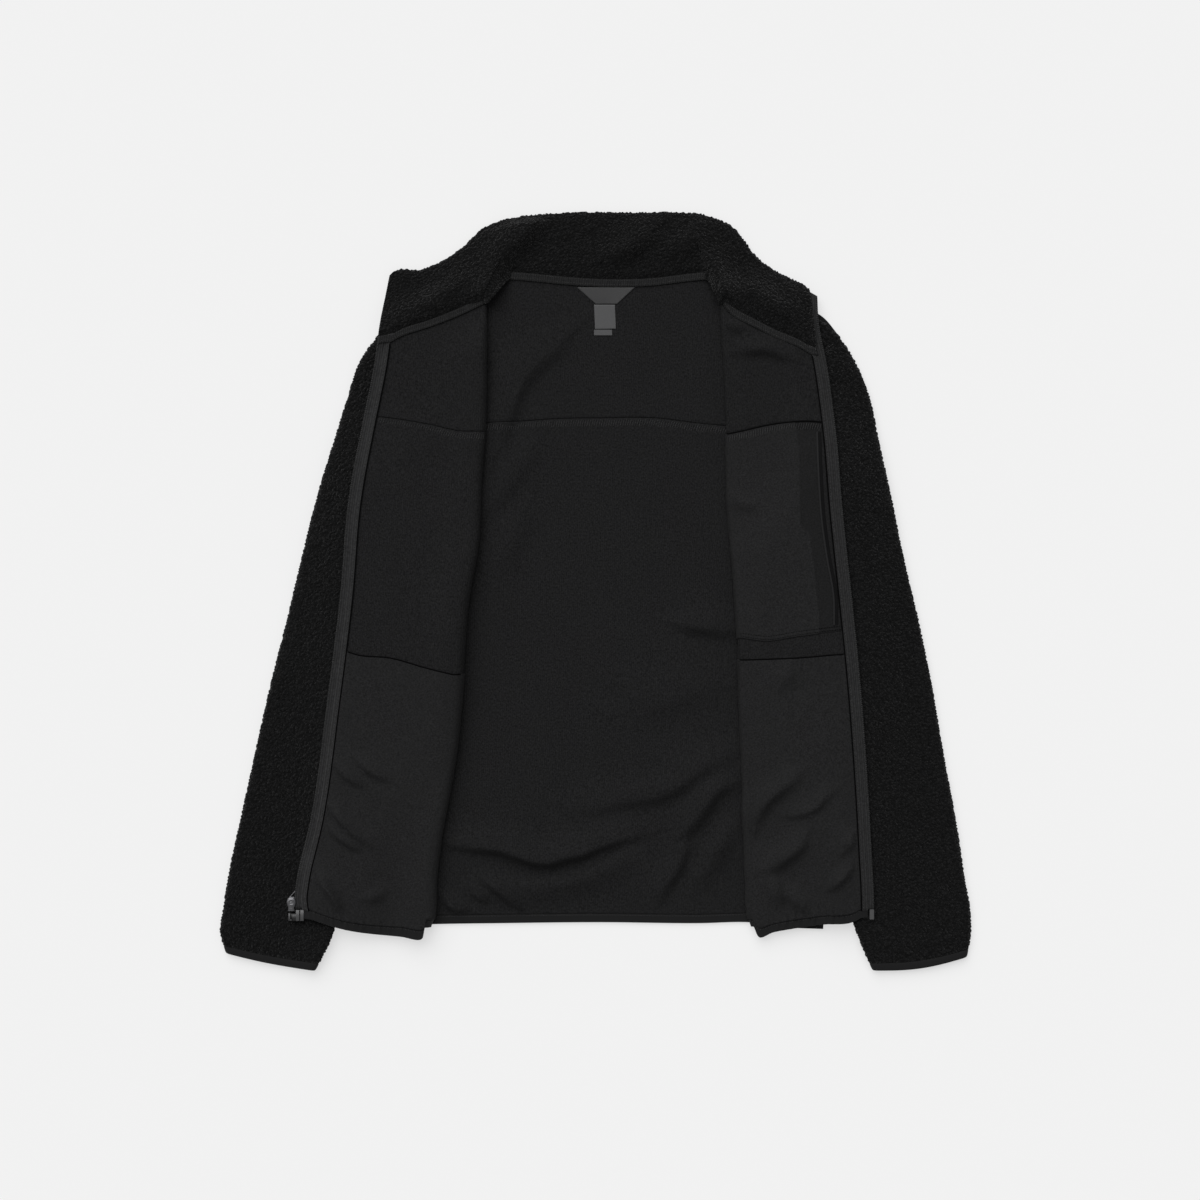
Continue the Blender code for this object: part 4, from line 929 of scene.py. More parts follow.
def front_grids(side):
    """Outer and inner skin of a whole front, in rows from neck to hem and columns from side to zip."""
    sign = SIGN[side]
    fold = smooth_line(FOLD[side])
    zip_line = smooth_line(ZIP[side])
    toward_zip = -sign * normals(fold)
    reach = (lap_base(fold[:, 0], fold[:, 1]) + SHERPA - FRONT_BASE + fold_swell(side, fold[:, 1])) / 2
    centre = fold + toward_zip * reach[:, None]
    edge = zip_line + sign * normals(zip_line) * (TAPE_WIDTH + SEAM)
    facing = zip_line + sign * normals(zip_line) * (TAPE_WIDTH + FACING_WIDTH)
    side_line = side_rows(side)

    lines = FRONT_LINES[side]
    uppers = []
    for _, _, fold_y, zip_y, points in lines:
        start, end = at_height(centre, fold_y), at_height(facing, zip_y)
        inner = [p for p in points if sign * (end[0] - p[0]) > ROOM_AT_FACING]
        uppers.append(evenly(smooth_line([start, *inner, end]), UPPER_COLUMNS))
    rows_upper, rows_edge = [uppers[0][None]], [at_height(edge, lines[0][3])[None]]
    for (above, over), (here, under) in zip(zip(lines, uppers), zip(lines[1:], uppers[1:])):
        spans = ROWS_BETWEEN[here[0]]
        left = between(centre, above[2], here[2], spans)
        right = between(facing, above[3], here[3], spans)
        rows_upper.append(patch(over, under, left, right)[1:])
        rows_edge.append(between(edge, above[3], here[3], spans)[1:])
    flat, rim = np.vstack(rows_upper), np.vstack(rows_edge)
    to_edge = np.linspace(0, 1, EDGE_COLUMNS + 1)[None, 1:, None]
    upper = np.concatenate([flat, flat[:, -1:] * (1 - to_edge) + rim[:, None] * to_edge], axis=1)
    centres = upper[:, 0]

    share = np.linspace(0, 1, LOWER_COLUMNS + 1)[None, :, None]
    lower = side_line[:, None] * (1 - share) + centres[:, None] * share
    shoulder = smooth_line(SHOULDER[side])
    tucked = np.interp(lower[0, :, 0], shoulder[:, 0], shoulder[:, 1]) - SHOULDER_TUCK
    lift = (tucked - lower[0, :, 1])[1:-1]
    fade = np.linspace(1, 0, YOKE_ROW + 1)[:, None]
    lower[:YOKE_ROW + 1, 1:-1, 1] += fade * lift

    x, y = upper[..., 0], upper[..., 1]
    from_fold = np.linalg.norm(upper - centres[:, None], axis=-1)
    hem_y = upper[BINDING_ROW, :, 1][None]
    base = lap_base(x, y) + creased(x, y, FRONT_FOLDS) + gathered(x, y, hem_y)
    swell = fold_swell(side, centres[:, 1])[:, None]
    base = base + swell * np.exp(-(from_fold / FOLD_SWELL[side][1]) ** 2)
    pressed = np.zeros(upper.shape[1])
    pressed[-EDGE_COLUMNS - 1:] = EDGE_PRESS * np.linspace(0, 1, EDGE_COLUMNS + 1) ** PRESS_BEND
    outward = -sign * np.column_stack([np.ones(len(centres)), np.zeros(len(centres))])
    bends_outer, bends_inner = [], []
    low, high = FRONT_BASE, base[:, 0] + SHERPA
    middle, radius = (low + high) / 2, (high - low) / 2
    for i in range(1, FOLD_STEPS + 1):
        angle = -math.pi / 2 + math.pi * i / (FOLD_STEPS + 1)
        for bends, size in ((bends_outer, radius), (bends_inner, radius - SHERPA)):
            flat = centres + outward * (size * math.cos(angle))[:, None]
            bends.append(np.column_stack([flat, middle + size * math.sin(angle)]))
    outer = [raised(lower, FRONT_BASE), np.stack(bends_outer, 1), raised(upper, base + SHERPA - pressed)]
    inner = [raised(lower, FRONT_BASE + SHERPA), np.stack(bends_inner, 1), raised(upper, base)]
    return np.concatenate(outer, axis=1), np.concatenate(inner, axis=1)


FIRST_UPPER = LOWER_COLUMNS + 1 + FOLD_STEPS        # the upper layer's first column
FACING_COLUMN = FIRST_UPPER + UPPER_COLUMNS
OVER_TAPE = 0.9         # how far the facing strip reaches onto the zip tape
TURNED_IN = 2.8         # how deep its lower end is tucked into the hem
# Offset of the painted shadow line along the lower bag's top edge.
BAG_SHADOW_SHIFT = np.array([0, -0.5, 0.1])
SHOWN_ROUND_FOLD = 4    # how many columns of the fold's turn the stitches follow
BINDING_GROOVE, HEM_ROUNDING = 0.3, 0.9
BAG_ROUND_FOLD = 9      # how many columns of the fold's turn a pocket bag follows
# Left edge of the stitched band on the chest pocket bag, which is sunk and also coloured darker as painted
# shade, and the ridge between this band and the facing.
CHEST_BAND = [(208, 182), (213, 150), (214, 69), (224, 60), (227, 36), (233, -21.5), (234, -46)]
BAND_EDGE, BAND_DEPTH = 1.5, 0.8
RIDGE_LEVEL = 0.75                  # the share of the bag's height at which the ridge lies
BESIDE_RIDGE = np.array([2.7, 0, -0.3])
CHEST_RIDGE = [(232, 168), (233, 130), (237, 71), (242, 36), (249, -6), (249.5, -34)]


def front_top(points):
    """Points on the upper face of a front, at some places in plan."""
    x, y = points[:, 0], points[:, 1]
    return np.column_stack([points, lap_base(x, y) + creased(x, y, FRONT_FOLDS) + SHERPA])


def build_front(side):
    outer, inner = front_grids(side)
    build_panels(("front_yoke_" + side, "front_body_" + side, "hem_binding_" + side), inner, outer, (2, 1),
                 [(None, SEAM_DEPTH), (SEAM_DEPTH, BINDING_GROOVE), (BINDING_GROOVE, HEM_ROUNDING)])
    out = unit(outer - inner)
    build_bags(side, outer, out)
    build_facing(side, outer, out)
    shown = outer[:, FIRST_UPPER - SHOWN_ROUND_FOLD:FACING_COLUMN]
    on_bag = up(SEAM + TRIM)
    lift = on_bag if side == "right" else up(0)
    stitches("yoke_serging_" + side, [row_line(shown, YOKE_ROW + SERGING_ROW) + lift], SERGING, SERGING_LEAN,
             "fleece_inside")
    stitches("hem_stitches_" + side, [row_line(shown, BINDING_ROW + HEM_STITCH_ROW)], HEM_STITCH,
             slot="elastic_binding")
    # A near-black bead along the lower bag's top edge: a painted shadow line.
    bead("bag_edge_painted_shadow_" + side, row_line(shown, BAG_ROW) + on_bag + BAG_SHADOW_SHIFT, 0.75, 0.5, "seam_thread_and_painted_shade",
         "woven_pocketing")
    if side == "right":
        # A near-black bead along the right yoke seam: a painted shadow line.
        bead("yoke_seam_painted_shadow_" + side, row_line(shown, YOKE_ROW) + on_bag, 0.7, 0.5, "seam_thread_and_painted_shade",
             "fleece_inside")
        foot = [row_line(shown, CHEST_ROW - above) + on_bag for above in CHEST_STITCH_ROWS]
        stitches("chest_stitches", foot, CHEST_STITCH, slot="woven_pocketing", look="seam_thread_and_painted_shade")
        ridge = front_top(smooth_line(CHEST_RIDGE)) + on_bag * RIDGE_LEVEL
        bead("chest_ridge", ridge, 1.1, 0.8, "pocket_rim", "woven_pocketing")
        # A dark strip between the ridge and the facing: painted shade.
        bead("chest_painted_shade_strip", ridge + BESIDE_RIDGE, 1.7, 0.3, "pocket_shade", "woven_pocketing")
    return outer


def build_bags(side, outer, out):
    """Woven pocket bags on a front: the lower one, and on the right the one at the chest too."""
    cols = slice(FIRST_UPPER - BAG_ROUND_FOLD, FACING_COLUMN + 1)
    bags = [("pocket_bag_lower_" + side, slice(BAG_ROW, BINDING_ROW + 1), LAST)]
    if side == "right":
        bags.append(("pocket_bag_chest", slice(YOKE_ROW, CHEST_ROW + 1), FIRST))
    for name, rows, seams in bags:
        near, far = (trimmed(outer[rows, cols] + out[rows, cols] * height, SEAM, seams, LAST)
                     for height in (SEAM, SEAM + TRIM))
        # band: where the chest bag is sunk, and where its colour is darkened as painted shade.
        band = np.zeros(far.shape[:2])
        if name == "pocket_bag_chest":
            band = step((far[..., 0] - across_at(CHEST_BAND, far[..., 1])) / BAND_EDGE)
            far[..., 2] -= BAND_DEPTH * band
        added = len(ROUNDING) - 1
        band = np.pad(band, ((added, added), (0, added)), mode="edge")
        piece = trim(name, near, far, ["woven_pocketing"], (4, 4), BAG_EDGES, "woven_pocketing",
                     {"band": band})


def build_facing(side, outer, out):
    """The ribbed strip that covers the seam of the zip tape."""
    strip, over = outer[:, FACING_COLUMN:], out[:, FACING_COLUMN:]
    near, far = (trimmed(strip + over * height, SEAM, FIRST, FIRST) for height in (SEAM, SEAM + TRIM))
    for grid in (near, far):
        grid[:, -1] += unit(grid[:, -1] - grid[:, -2]) * OVER_TAPE
        grid[..., 2] -= TURNED_IN * step((TAPE_END - grid[..., 1]) / 3)
    stitches("zip_stitches_" + side, [column_line(far[1:-1], ZIP_STITCH_COLUMN)], ZIP_STITCH)
    # A near-black bead along the facing's inner edge: a painted shadow line.
    bead("facing_edge_painted_shadow_" + side, column_line(far[1:-1], 0) + up(0.1), 0.7, 0.35, "seam_thread_and_painted_shade", "ribbed_tape")
    trim("zip_facing_" + side, near, far, ["ribbed_tape"], (4, 1), FACING_EDGES)


# ---------------------------------------------------------------- sleeves

# Across a sleeve's edge: distance from the edge, and how far its two sides are drawn together, as a share.
EDGE_STEPS = [(0.0, 0.5), (0.35, 0.3), (1.6, 0.14), (3.0, 0.04), (5.0, 0.0)]
EDGE_ROOM = 6.5         # the half width from which a sleeve has these distances in full
SLEEVE_STEP = 1.1       # spacing of the sleeve's rings
# Points across its width: the shares between which they lie, and their number, on top where they are hidden
# and where they show, and beneath.
HIDDEN_SPAN, HIDDEN_POINTS = (0.04, 0.36), 14
SHOWN_SPAN, SHOWN_POINTS = (0.36, 0.965), 84
LOW_SPAN, LOW_POINTS = (0.06, 0.94), 14
BOW_SPAN = (0.9, 0.1)   # the share of its length from which the cuff bows, and over how much
PILE = 1.3              # height of the tufts over the sleeve's form
PILE_MIDDLE = 0.35      # the height in curls that lies on the form
FACING_DOWN = (-0.75, 0.4)      # where the pile ends beneath a sleeve: the normal's z, and over how much
RIM_ROWS, RIM_PILE = 3, 0.35    # how the pile is cut short at both ends
ARMHOLE_STITCHES = (2.2, 5.6)   # distances of the topstitching from the armhole seam
STITCH_SINK = (1.4, 0.9)        # half width and depth of its furrow in the pile
STITCHES_SUNK = 0.5
UNDER_TAB = (-300.0, -306.0)    # where the pull tab swings over the left sleeve and presses its pile
PRESSED = (9.0, 17.0)
ARMHOLE_SEAM_SHIFT = {"left": np.array([0.8, 1.1, -0.6]), "right": np.array([-0.8, 1.1, -0.6])}
CUFF_ROLL = (0.8, 0.5)          # how much the cuff bulges, and how far its edges are drawn in


def sleeve_shares():
    """Columns across a sleeve's top, close together where they show, and the few beneath."""
    top = [np.linspace(*HIDDEN_SPAN, HIDDEN_POINTS)[:-1], np.linspace(*SHOWN_SPAN, SHOWN_POINTS)]
    return np.concatenate(top), np.linspace(*LOW_SPAN, LOW_POINTS)


def sleeve_ring(start, end, bulge, inset, lift, height, top_shares, low_shares):
    """One ring of a flattened sleeve, over its top from the inner edge and back beneath."""
    width = np.linalg.norm(end - start)
    across = (end - start) / width
    reach = min(1.0, (width / 2 - inset) / EDGE_ROOM)
    edge = [(inset + distance * reach, up) for distance, up in EDGE_STEPS]
    least = edge[-1][0]
    room = width - 2 * least
    top = [least + room * s for s in top_shares]
    low = [least + room * s for s in low_shares]
    run = [d for d, up in edge] + top + [width - d for d, up in reversed(edge)]
    up = [1 - u for d, u in edge] + [1.0] * len(top) + [1 - u for d, u in reversed(edge)]
    back = [width - d for d, u in edge[1:]] + low[::-1] + [d for d, u in reversed(edge[1:])]
    back_up = [u for d, u in edge[1:]] + [0.0] * len(low) + [u for d, u in reversed(edge[1:])]
    run, up = np.array(run + back), np.array(up + back_up)
    points = start + across * run[:, None]
    points[:, 1] -= bulge * np.sin(np.pi * run / width)
    base = sleeve_base(points[:, 0], points[:, 1])
    return np.column_stack([points, base + lift + height * up])


def sleeve_rings(side):
    """Outer and inner rings of a sleeve from its shoulder end to its cuff, and where the cuff's seam is."""
    inner_edge, outer_edge = (smooth_line([row[i] for row in SLEEVE_EDGES[side]], 24) for i in (0, 1))
    long = (length_of(inner_edge) + length_of(outer_edge)) / 2
    count = int(long / SLEEVE_STEP)
    shares = np.linspace(0, 1, count + 1)
    starts, ends = at_shares(inner_edge, shares), at_shares(outer_edge, shares)
    top, low = sleeve_shares()
    outer, inner = [], []
    for share, start, end in zip(shares, starts, ends):
        bulge = CUFF_BOW[side] * step((share - BOW_SPAN[0]) / BOW_SPAN[1])
        outer.append(sleeve_ring(start, end, bulge, 0.0, 0.0, SLEEVE, top, low))
        inner.append(sleeve_ring(start, end, bulge, SHERPA, SHERPA, SLEEVE_HOLLOW, top, low))
    return np.array(outer), np.array(inner), count - round(BINDING / SLEEVE_STEP)


HIDDEN_PILE = 0.5       # of the pile inside a sleeve


def tube(name, outer, inner, looks, fields, skip):
    """A tube wall between two stacks of rings. The inner stack keeps only some of its rings."""
    rows, around = outer.shape[:2]
    kept = thinned(rows, skip)
    index, under = (np.pad(points, ((0, 0), (0, 1)), mode="wrap")
                    for points in (numbered(rows, around), numbered(len(kept), around, rows * around)))
    head = np.stack([index[0, :-1], index[0, 1:], under[0, 1:], under[0, :-1]], -1)
    foot = np.stack([index[-1, 1:], index[-1, :-1], under[-1, :-1], under[-1, 1:]], -1)
    rest = np.concatenate([quads(under, True), head, foot]).tolist()
    return skin(name, outer, kept, inner[kept], quads(index), rest, looks, fields, HIDDEN_PILE)


def build_sleeve(side):
    outer, inner, seam = sleeve_rings(side)
    out = grid_normals(outer, closed=True)
    if ((outer - outer.mean(axis=1, keepdims=True)) * out).sum() < 0:
        out = -out
    height = curls(outer)
    shown = step((out[..., 2] - FACING_DOWN[0]) / FACING_DOWN[1])
    rim = np.minimum(np.arange(seam + 1), np.arange(seam + 1)[::-1])[:, None] / RIM_ROWS
    amount = PILE * (height - PILE_MIDDLE) * shown
    along = np.arange(len(outer))[:, None] * SLEEVE_STEP
    for where in ARMHOLE_STITCHES:
        sunk = np.exp(-((along - where) / STITCH_SINK[0]) ** 2)
        amount = amount * (1 - sunk) - STITCH_SINK[1] * sunk * shown
    if side == "left":
        away = np.hypot(outer[..., 0] - UNDER_TAB[0], outer[..., 1] - UNDER_TAB[1])
        pressed = down_ramp(away, *PRESSED) * shown
        amount = amount * (1 - pressed) - pressed
    body = outer[:seam + 1] + out[:seam + 1] * (amount[:seam + 1] * step(RIM_PILE + rim))[..., None]
    for number, where in enumerate(ARMHOLE_STITCHES):
        line = row_line(outer, where / SLEEVE_STEP)[:len(outer[0]) // 2] - up(STITCHES_SUNK)
        stitches("armhole_stitches_" + side + str(number), [line], ARMHOLE_STITCH)
    piece = tube("sleeve_" + side + "_cloth", body, inner[:seam + 1], ["sherpa", "sherpa_under"],
                 {"pile": height[:seam + 1]}, 8)
    dress(piece, "sherpa", "sleeve_" + side)
    seam_line = outer[0, 1:2 * len(EDGE_STEPS) + len(sleeve_shares()[0]):5]
    bead("armhole_seam_" + side, seam_line + ARMHOLE_SEAM_SHIFT[side], 2.6, 0.8, "sherpa", "sherpa")
    cuff, cuff_inner = (trimmed(rings[seam:], SEAM, FIRST) for rings in (outer, inner))
    share = np.linspace(0, 1, len(cuff))[:, None]
    roll = CUFF_ROLL[0] * np.sqrt(np.clip(1 - (2 * share - 1) ** 2, 0, 1)) - CUFF_ROLL[1]
    cuff = cuff + out[seam:] * (roll * shown[seam:])[..., None]
    piece = tube("cuff_" + side + "_cloth", cuff, cuff_inner, ["elastic_binding"], {}, 1)
    dress(piece, "elastic_binding", "cuff_" + side)


# ---------------------------------------------------------------- collar

# Share of the collar's depth, then how far its underside and its top draw in, as shares of its thickness.
COLLAR_ROWS = [(0, 0, 0.42), (0.1, 0, 0.36), (0.18, 0, 0.08), (0.45, 0, 0), (0.7, 0, 0), (0.9, 0.04, 0.04),
               (0.97, 0.16, 0.16), (1, 0.36, 0.36)]
TAPE_SHARE = 0.1                    # the share in COLLAR_ROWS at which the neck tape ends
COLLAR_SPANS = (110, 290, 124)      # columns of its left front, back and right front
COLLAR_TOP_ENDS = (0.004, 0.98)     # shares of its top edge at which its two ends start
COLLAR_EDGE = 0.92                  # the share of its depth from which its rows are close together again
CLOSE_ROWS, WIDE_ROWS = 9, 68
NECK_GAP = 1.3                      # room at the neck seam, as a multiple of a seam's
COLLAR_PILE = 1.1
PILE_FROM, PILE_FADE = 0.085, 0.06  # the share of its depth from which it has pile
EDGE_PILE = 0.9                     # how far the pile stands out at its top edge
FOLDS_FADE, FOLDS_START, ROLLS_START = 0.15, 0.2, 0.12      # shares of its depth over which these fade
LIP_ROUND = 0.8                     # how much fuller it is where it rolls over its seam
TAPE_OVER_YOKE = 1.0                # how far the neck tape reaches over the panels' edge
COLLAR_END_INSET = {"left": 0.6, "right": 9.6}      # from the zip line to the collar's front ends
COLLAR_OVER_TAPE = 4.3              # height of its left end's underside, over the zip tape
COLLAR_END_DROP = 1.5               # how far its left end reaches down past the front's corner
NECK_CORNERS = [((-113, 304), (-93, 329)), ((120, 329), (132, 304))]
CORNER_LIP = (3.0, 0.24, 5.0)       # how far it rolls over the neck seam there, to what depth, and its fade


def collar_end(side, start, shares):
    """The collar's front end, beside the zip tape, from the neck seam to its top edge."""
    sign = SIGN[side]
    line = smooth_line(ZIP[side])
    edge = line + sign * normals(line) * COLLAR_END_INSET[side]
    top = smooth_line(COLLAR_TOP)
    corner = (edge[0, 0], np.interp(edge[0, 0], top[:, 0], top[:, 1]))
    return at_shares(np.vstack([start, edge[edge[:, 1] > start[1] + 3][::-1], corner]), shares)


def at_corner(points):
    """1 along the two neck corners, where the collar rolls over its seam, falling to 0 beside them."""
    share = np.zeros(len(points))
    for start, end in np.array(NECK_CORNERS, float):
        away = np.linalg.norm(points - (start + end) / 2, axis=1)
        share = np.maximum(share, down_ramp(away, np.linalg.norm(end - start) / 2, CORNER_LIP[2]))
    return share


def collar_grids(left, right):
    """Underside and top of the collar from its left front end to its right one.

    Also the bed of its neck tape, the depths of its rows, and where it rolls over its seam.
    """
    left_neck = left[0, FIRST_UPPER:, :2][::-1]
    past_tape = np.array([[-(TAPE_WIDTH + SEAM - COLLAR_END_INSET["left"]), -COLLAR_END_DROP]])
    left_neck = evenly(np.vstack([left_neck[:1] + past_tape, left_neck]), COLLAR_SPANS[0])
    right_neck = evenly(right[0, FIRST_UPPER:, :2], COLLAR_SPANS[2])
    middle = np.vstack([SHOULDER["left"][-1:], smooth_line(NECK_BACK), SHOULDER["right"][:1]])
    middle = np.vstack([left_neck[-1:], middle, right_neck[:1]])
    low = np.vstack([left_neck, evenly(middle, COLLAR_SPANS[1])[1:-1], right_neck])
    low = low - normals(low) * SEAM * NECK_GAP
    edge = smooth_line(COLLAR_TOP)
    start, end = COLLAR_TOP_CORNERS
    shares = np.concatenate([np.linspace(COLLAR_TOP_ENDS[0], start, len(left_neck)),
                             np.linspace(start, end, COLLAR_SPANS[1] + 1)[1:-1],
                             np.linspace(end, COLLAR_TOP_ENDS[1], len(right_neck))])
    depth = np.concatenate([np.linspace(0, TAPE_SHARE, CLOSE_ROWS)[:-1],
                            np.linspace(TAPE_SHARE, COLLAR_EDGE, WIDE_ROWS),
                            np.linspace(COLLAR_EDGE, 1, CLOSE_ROWS)[1:]])
    table = np.array(COLLAR_ROWS)
    rise, drop = (np.interp(depth, table[:, 0], table[:, i])[:, None] for i in (1, 2))
    high = at_shares(edge, shares)
    tape = NECK_TAPE / np.linalg.norm(high - low, axis=-1)[None, :]
    out_by = np.where(depth[:, None] < TAPE_SHARE, depth[:, None] / TAPE_SHARE * tape,
                      tape + (depth[:, None] - TAPE_SHARE) / (1 - TAPE_SHARE) * (1 - tape))[..., None]
    plan = low[None] * (1 - out_by) + high[None] * out_by
    plan[:, 0] = collar_end("left", low[0], out_by[:, 0, 0])
    plan[:, -1] = collar_end("right", low[-1], out_by[:, -1, 0])
    x, y = plan[..., 0], plan[..., 1]
    base = collar_base(x, y)
    over_tape = down_ramp(x - across_at(ZIP["left"], y), TAPE_WIDTH + SEAM, 3.0)
    under = base + COLLAR * rise + COLLAR_OVER_TAPE * over_tape
    folds = creased(x, y, COLLAR_FOLDS) * step((1 - depth) / FOLDS_FADE)[:, None]
    rolls = np.zeros_like(x)
    for (centre_x, centre_y), radius, height in CORNER_ROLLS:
        rolls += height * np.exp(-((x - centre_x) ** 2 + (y - centre_y) ** 2) / radius**2)
    corner = at_corner(low)[None, :]
    lip, lip_depth = CORNER_LIP[:2]
    lip_share = corner * (1 - step(depth / lip_depth))[:, None]
    bed = base + COLLAR * (1 - drop) - (TRIM + SEAM) * corner
    top = base + COLLAR * (1 - drop * (1 - LIP_ROUND * lip_share))
    top = top + folds * step(depth / FOLDS_START)[:, None]
    top = top + rolls * np.maximum(step(depth / ROLLS_START)[:, None], corner)
    top_plan = plan + normals(low)[None] * (lip * lip_share)[..., None]
    return raised(plan, under), raised(top_plan, top), raised(plan, bed), depth, corner


def build_collar(left, right):
    lower, upper, bed, depth, corner = collar_grids(left, right)
    height = curls(upper)
    out = grid_normals(upper)
    out *= np.sign(out[..., 2].mean())
    outward = unit(upper[-1] - upper[-4])
    cover = np.maximum(step((depth - PILE_FROM) / PILE_FADE)[:, None], corner)
    shaped = upper + out * (COLLAR_PILE * (height - PILE_MIDDLE) * cover)[..., None]
    shaped[-1] += outward * (EDGE_PILE * height[-1])[:, None]
    piece = wall("collar_cloth", lower, shaped, ["sherpa", "sherpa_under"], (6, 6), {"pile": height})
    dress(piece, "sherpa", "collar")

    rows = int((depth <= TAPE_SHARE + 1e-9).sum())
    strip = trimmed(bed[:rows, ::2], SEAM, NEITHER, BOTH)
    strip[0] += unit(strip[0] - strip[1]) * TAPE_OVER_YOKE
    near, far = strip + up(SEAM), strip + up(SEAM + TRIM)
    stitches("neck_stitches", [row_line(far, row) for row in NECK_STITCH_ROWS], NECK_STITCH)
    trim("neck_tape", near, far, ["neck_tape"], (4, 4), NECK_TAPE_EDGES)


# ---------------------------------------------------------------- zip

def zip_base(x, y):
    """Underside of the zip tape."""
    start, length, rise = ZIP_ONTO_COLLAR
    share = step((y - start) / length)
    return lap_base(x, y) * (1 - share) + (collar_base(x, y) + rise) * share + TAPE_RISE


WIDER_AT_COLLAR = {"left": 0.0, "right": 0.33}      # how much more of a tape shows beside the collar
TAPE_COLUMNS = np.array([TAPE_WIDTH, 6.0, 5.0, 4.0, 3.0, 2.0, 1.0, 0.2])     # distances from the zip line
TAPE_ROWS = 220
TAPE_TOP = (285.0, 25.0)    # the y from which the right tape's end slants as the collar's top edge does,
TAPE_END_SLANT = 0.8        # and by how much
COIL_INSET = 1.0            # from the tape's outer edge to the middle of its coil
COIL_END = {"left": -316.0, "right": TAPE_END}
COIL_TURN = (2.1, 1.9, 0.5)     # pitch, length across and thickness


def build_zip_tape(side):
    line = smooth_line(ZIP[side])
    line = evenly(np.vstack([line[line[:, 1] > TAPE_END], at_height(line, TAPE_END)]), TAPE_ROWS)
    wider = 1 + WIDER_AT_COLLAR[side] * step((line[:, 1] - ZIP_ONTO_COLLAR[0]) / ZIP_ONTO_COLLAR[1])
    reach = (TAPE_COLUMNS[None, :] * wider[:, None])[..., None]
    plan = line[:, None] + (SIGN[side] * normals(line))[:, None] * reach
    if side == "right":
        slant = TAPE_END_SLANT * step((line[:, 1] - TAPE_TOP[0]) / TAPE_TOP[1])
        plan[..., 1] += slant[:, None] * TAPE_COLUMNS[None, :]
    base = zip_base(plan[..., 0], plan[..., 1])
    near, far = raised(plan, base), raised(plan, base + TAPE)
    coil = column_line(far, np.interp(-COIL_INSET, -TAPE_COLUMNS, np.arange(len(TAPE_COLUMNS))))
    coil = coil[coil[:, 1] > COIL_END[side]] + up(0.1)
    stitches("zip_coil_" + side, [coil], COIL_TURN, math.pi / 2, look="ribbed_tape")
    trim("zip_tape_" + side, near, far, ["ribbed_tape"], (4, 1), TAPE_EDGES)


# Labels: name, corners at the upper and at the lower edge, material, and what is sewn to it.
LABELS = [
    ("label_main", [(-19, 320), (42, 320)], [(1, 302.5), (23, 302.5)], "label_satin", ()),
    ("label_size", [(-1, 301.8), (21, 301.8)], [(0, 276), (22, 276.5)], "label_tab", ("label_care",)),
    ("label_care", [(-1, 275.5), (18, 275.5)], [(-1, 269.5), (18, 269.5)], "label_tab", None),
]


def build_labels():
    """Bare neck label, size tab and care tab."""
    for name, top, bottom, look, trims in LABELS:
        top, bottom = (evenly(np.array(edge, float), 24) for edge in (top, bottom))
        down = np.linspace(0, 1, 18)[:, None, None]
        plan = top[None] * (1 - down) + bottom[None] * down
        near, far = raised(plan, SHERPA + SEAM), raised(plan, SHERPA + SEAM + LABEL)
        piece = trim(name, near, far, [look], (1, 1), LABEL_EDGES, "label_satin")


# ---------------------------------------------------------------- zip hardware

SLIDER_CENTRE = (-317.0, -325.5)
SLIDER_HALF = (4.8, 7.25)
# Right half of its outline, as shares of its half sizes, and its levels: height over the cloth, and inset.
SLIDER_OUTLINE = [(0.72, -1.0), (0.74, -0.86), (0.66, -0.7), (0.7, -0.4), (0.88, -0.1), (1.0, 0.22),
                  (0.96, 0.55), (0.74, 0.84), (0.36, 1.0)]
SLIDER_LEVELS = [(-0.9, 0.5), (-0.6, 0.0), (0.0, 0.0), (0.3, 0.5), (0.4, 1.9), (3.7, 1.9), (3.8, 0.6),
                 (4.1, 0.0), (4.5, 0.15), (4.9, 0.9)]
# Levels of its details: the ring and the lip from its top, the pivot and the pivot's cap from the cloth.
RING_UP, RING_RADIUS, RING_LEVELS = 1.9, 3.1, [(-0.2, 0.0), (0.25, 0.3), (0.25, 1.0), (-0.1, 1.6)]
LIP_HALF, LIP_NEAR, LIP_FAR, LIP_LEVELS = 3.3, -6.9, -5.7, [(-0.6, 0.0), (0.1, 0.2), (0.2, 0.4)]
PIVOT_RADIUS, PIVOT_LEVELS = 1.0, [(-2.9, 0.0), (-0.8, 0.0)]
CAP_RADIUS, CAP_LEVELS = 2.1, [(-3.3, 0.3), (-3.1, 0.0), (-2.7, 0.0)]
PIVOT = (-318.0, -321.0)
TAB_LENGTH, TAB_HALF, TAB_FRAME, TAB_LEVEL = 24.0, 3.0, 1.3, -1.5
TAB_TURN = math.radians(42)         # from +Y toward +X
TAB_SECTION = [(0.0, 0.0), (0.2, 0.5), (0.8, 0.5), (1.0, 0.0), (0.8, -0.5), (0.2, -0.5)]   # share in, height
BOX = [(-320, -343), (-304.3, -343), (-304.3, -331.3), (-312.2, -331.3), (-312.2, -335.5), (-320, -335.5)]
BOX_LEVELS = [(-2.1, 0.2), (-1.9, 0.0), (-0.8, 0.0), (-0.6, 0.2)]
# Its ribs: left, right, near and far edge.
BOX_RIBS = [(-312.3, -308.6, -343.0, -331.4), (-307.7, -304.0, -343.0, -331.4),
            (-320.0, -318.1, -342.6, -334.9), (-320.0, -316.4, -342.6, -341.2)]
RIB_LEVELS = [(-1.0, 0.0), (1.8, 0.15), (2.1, 0.6)]


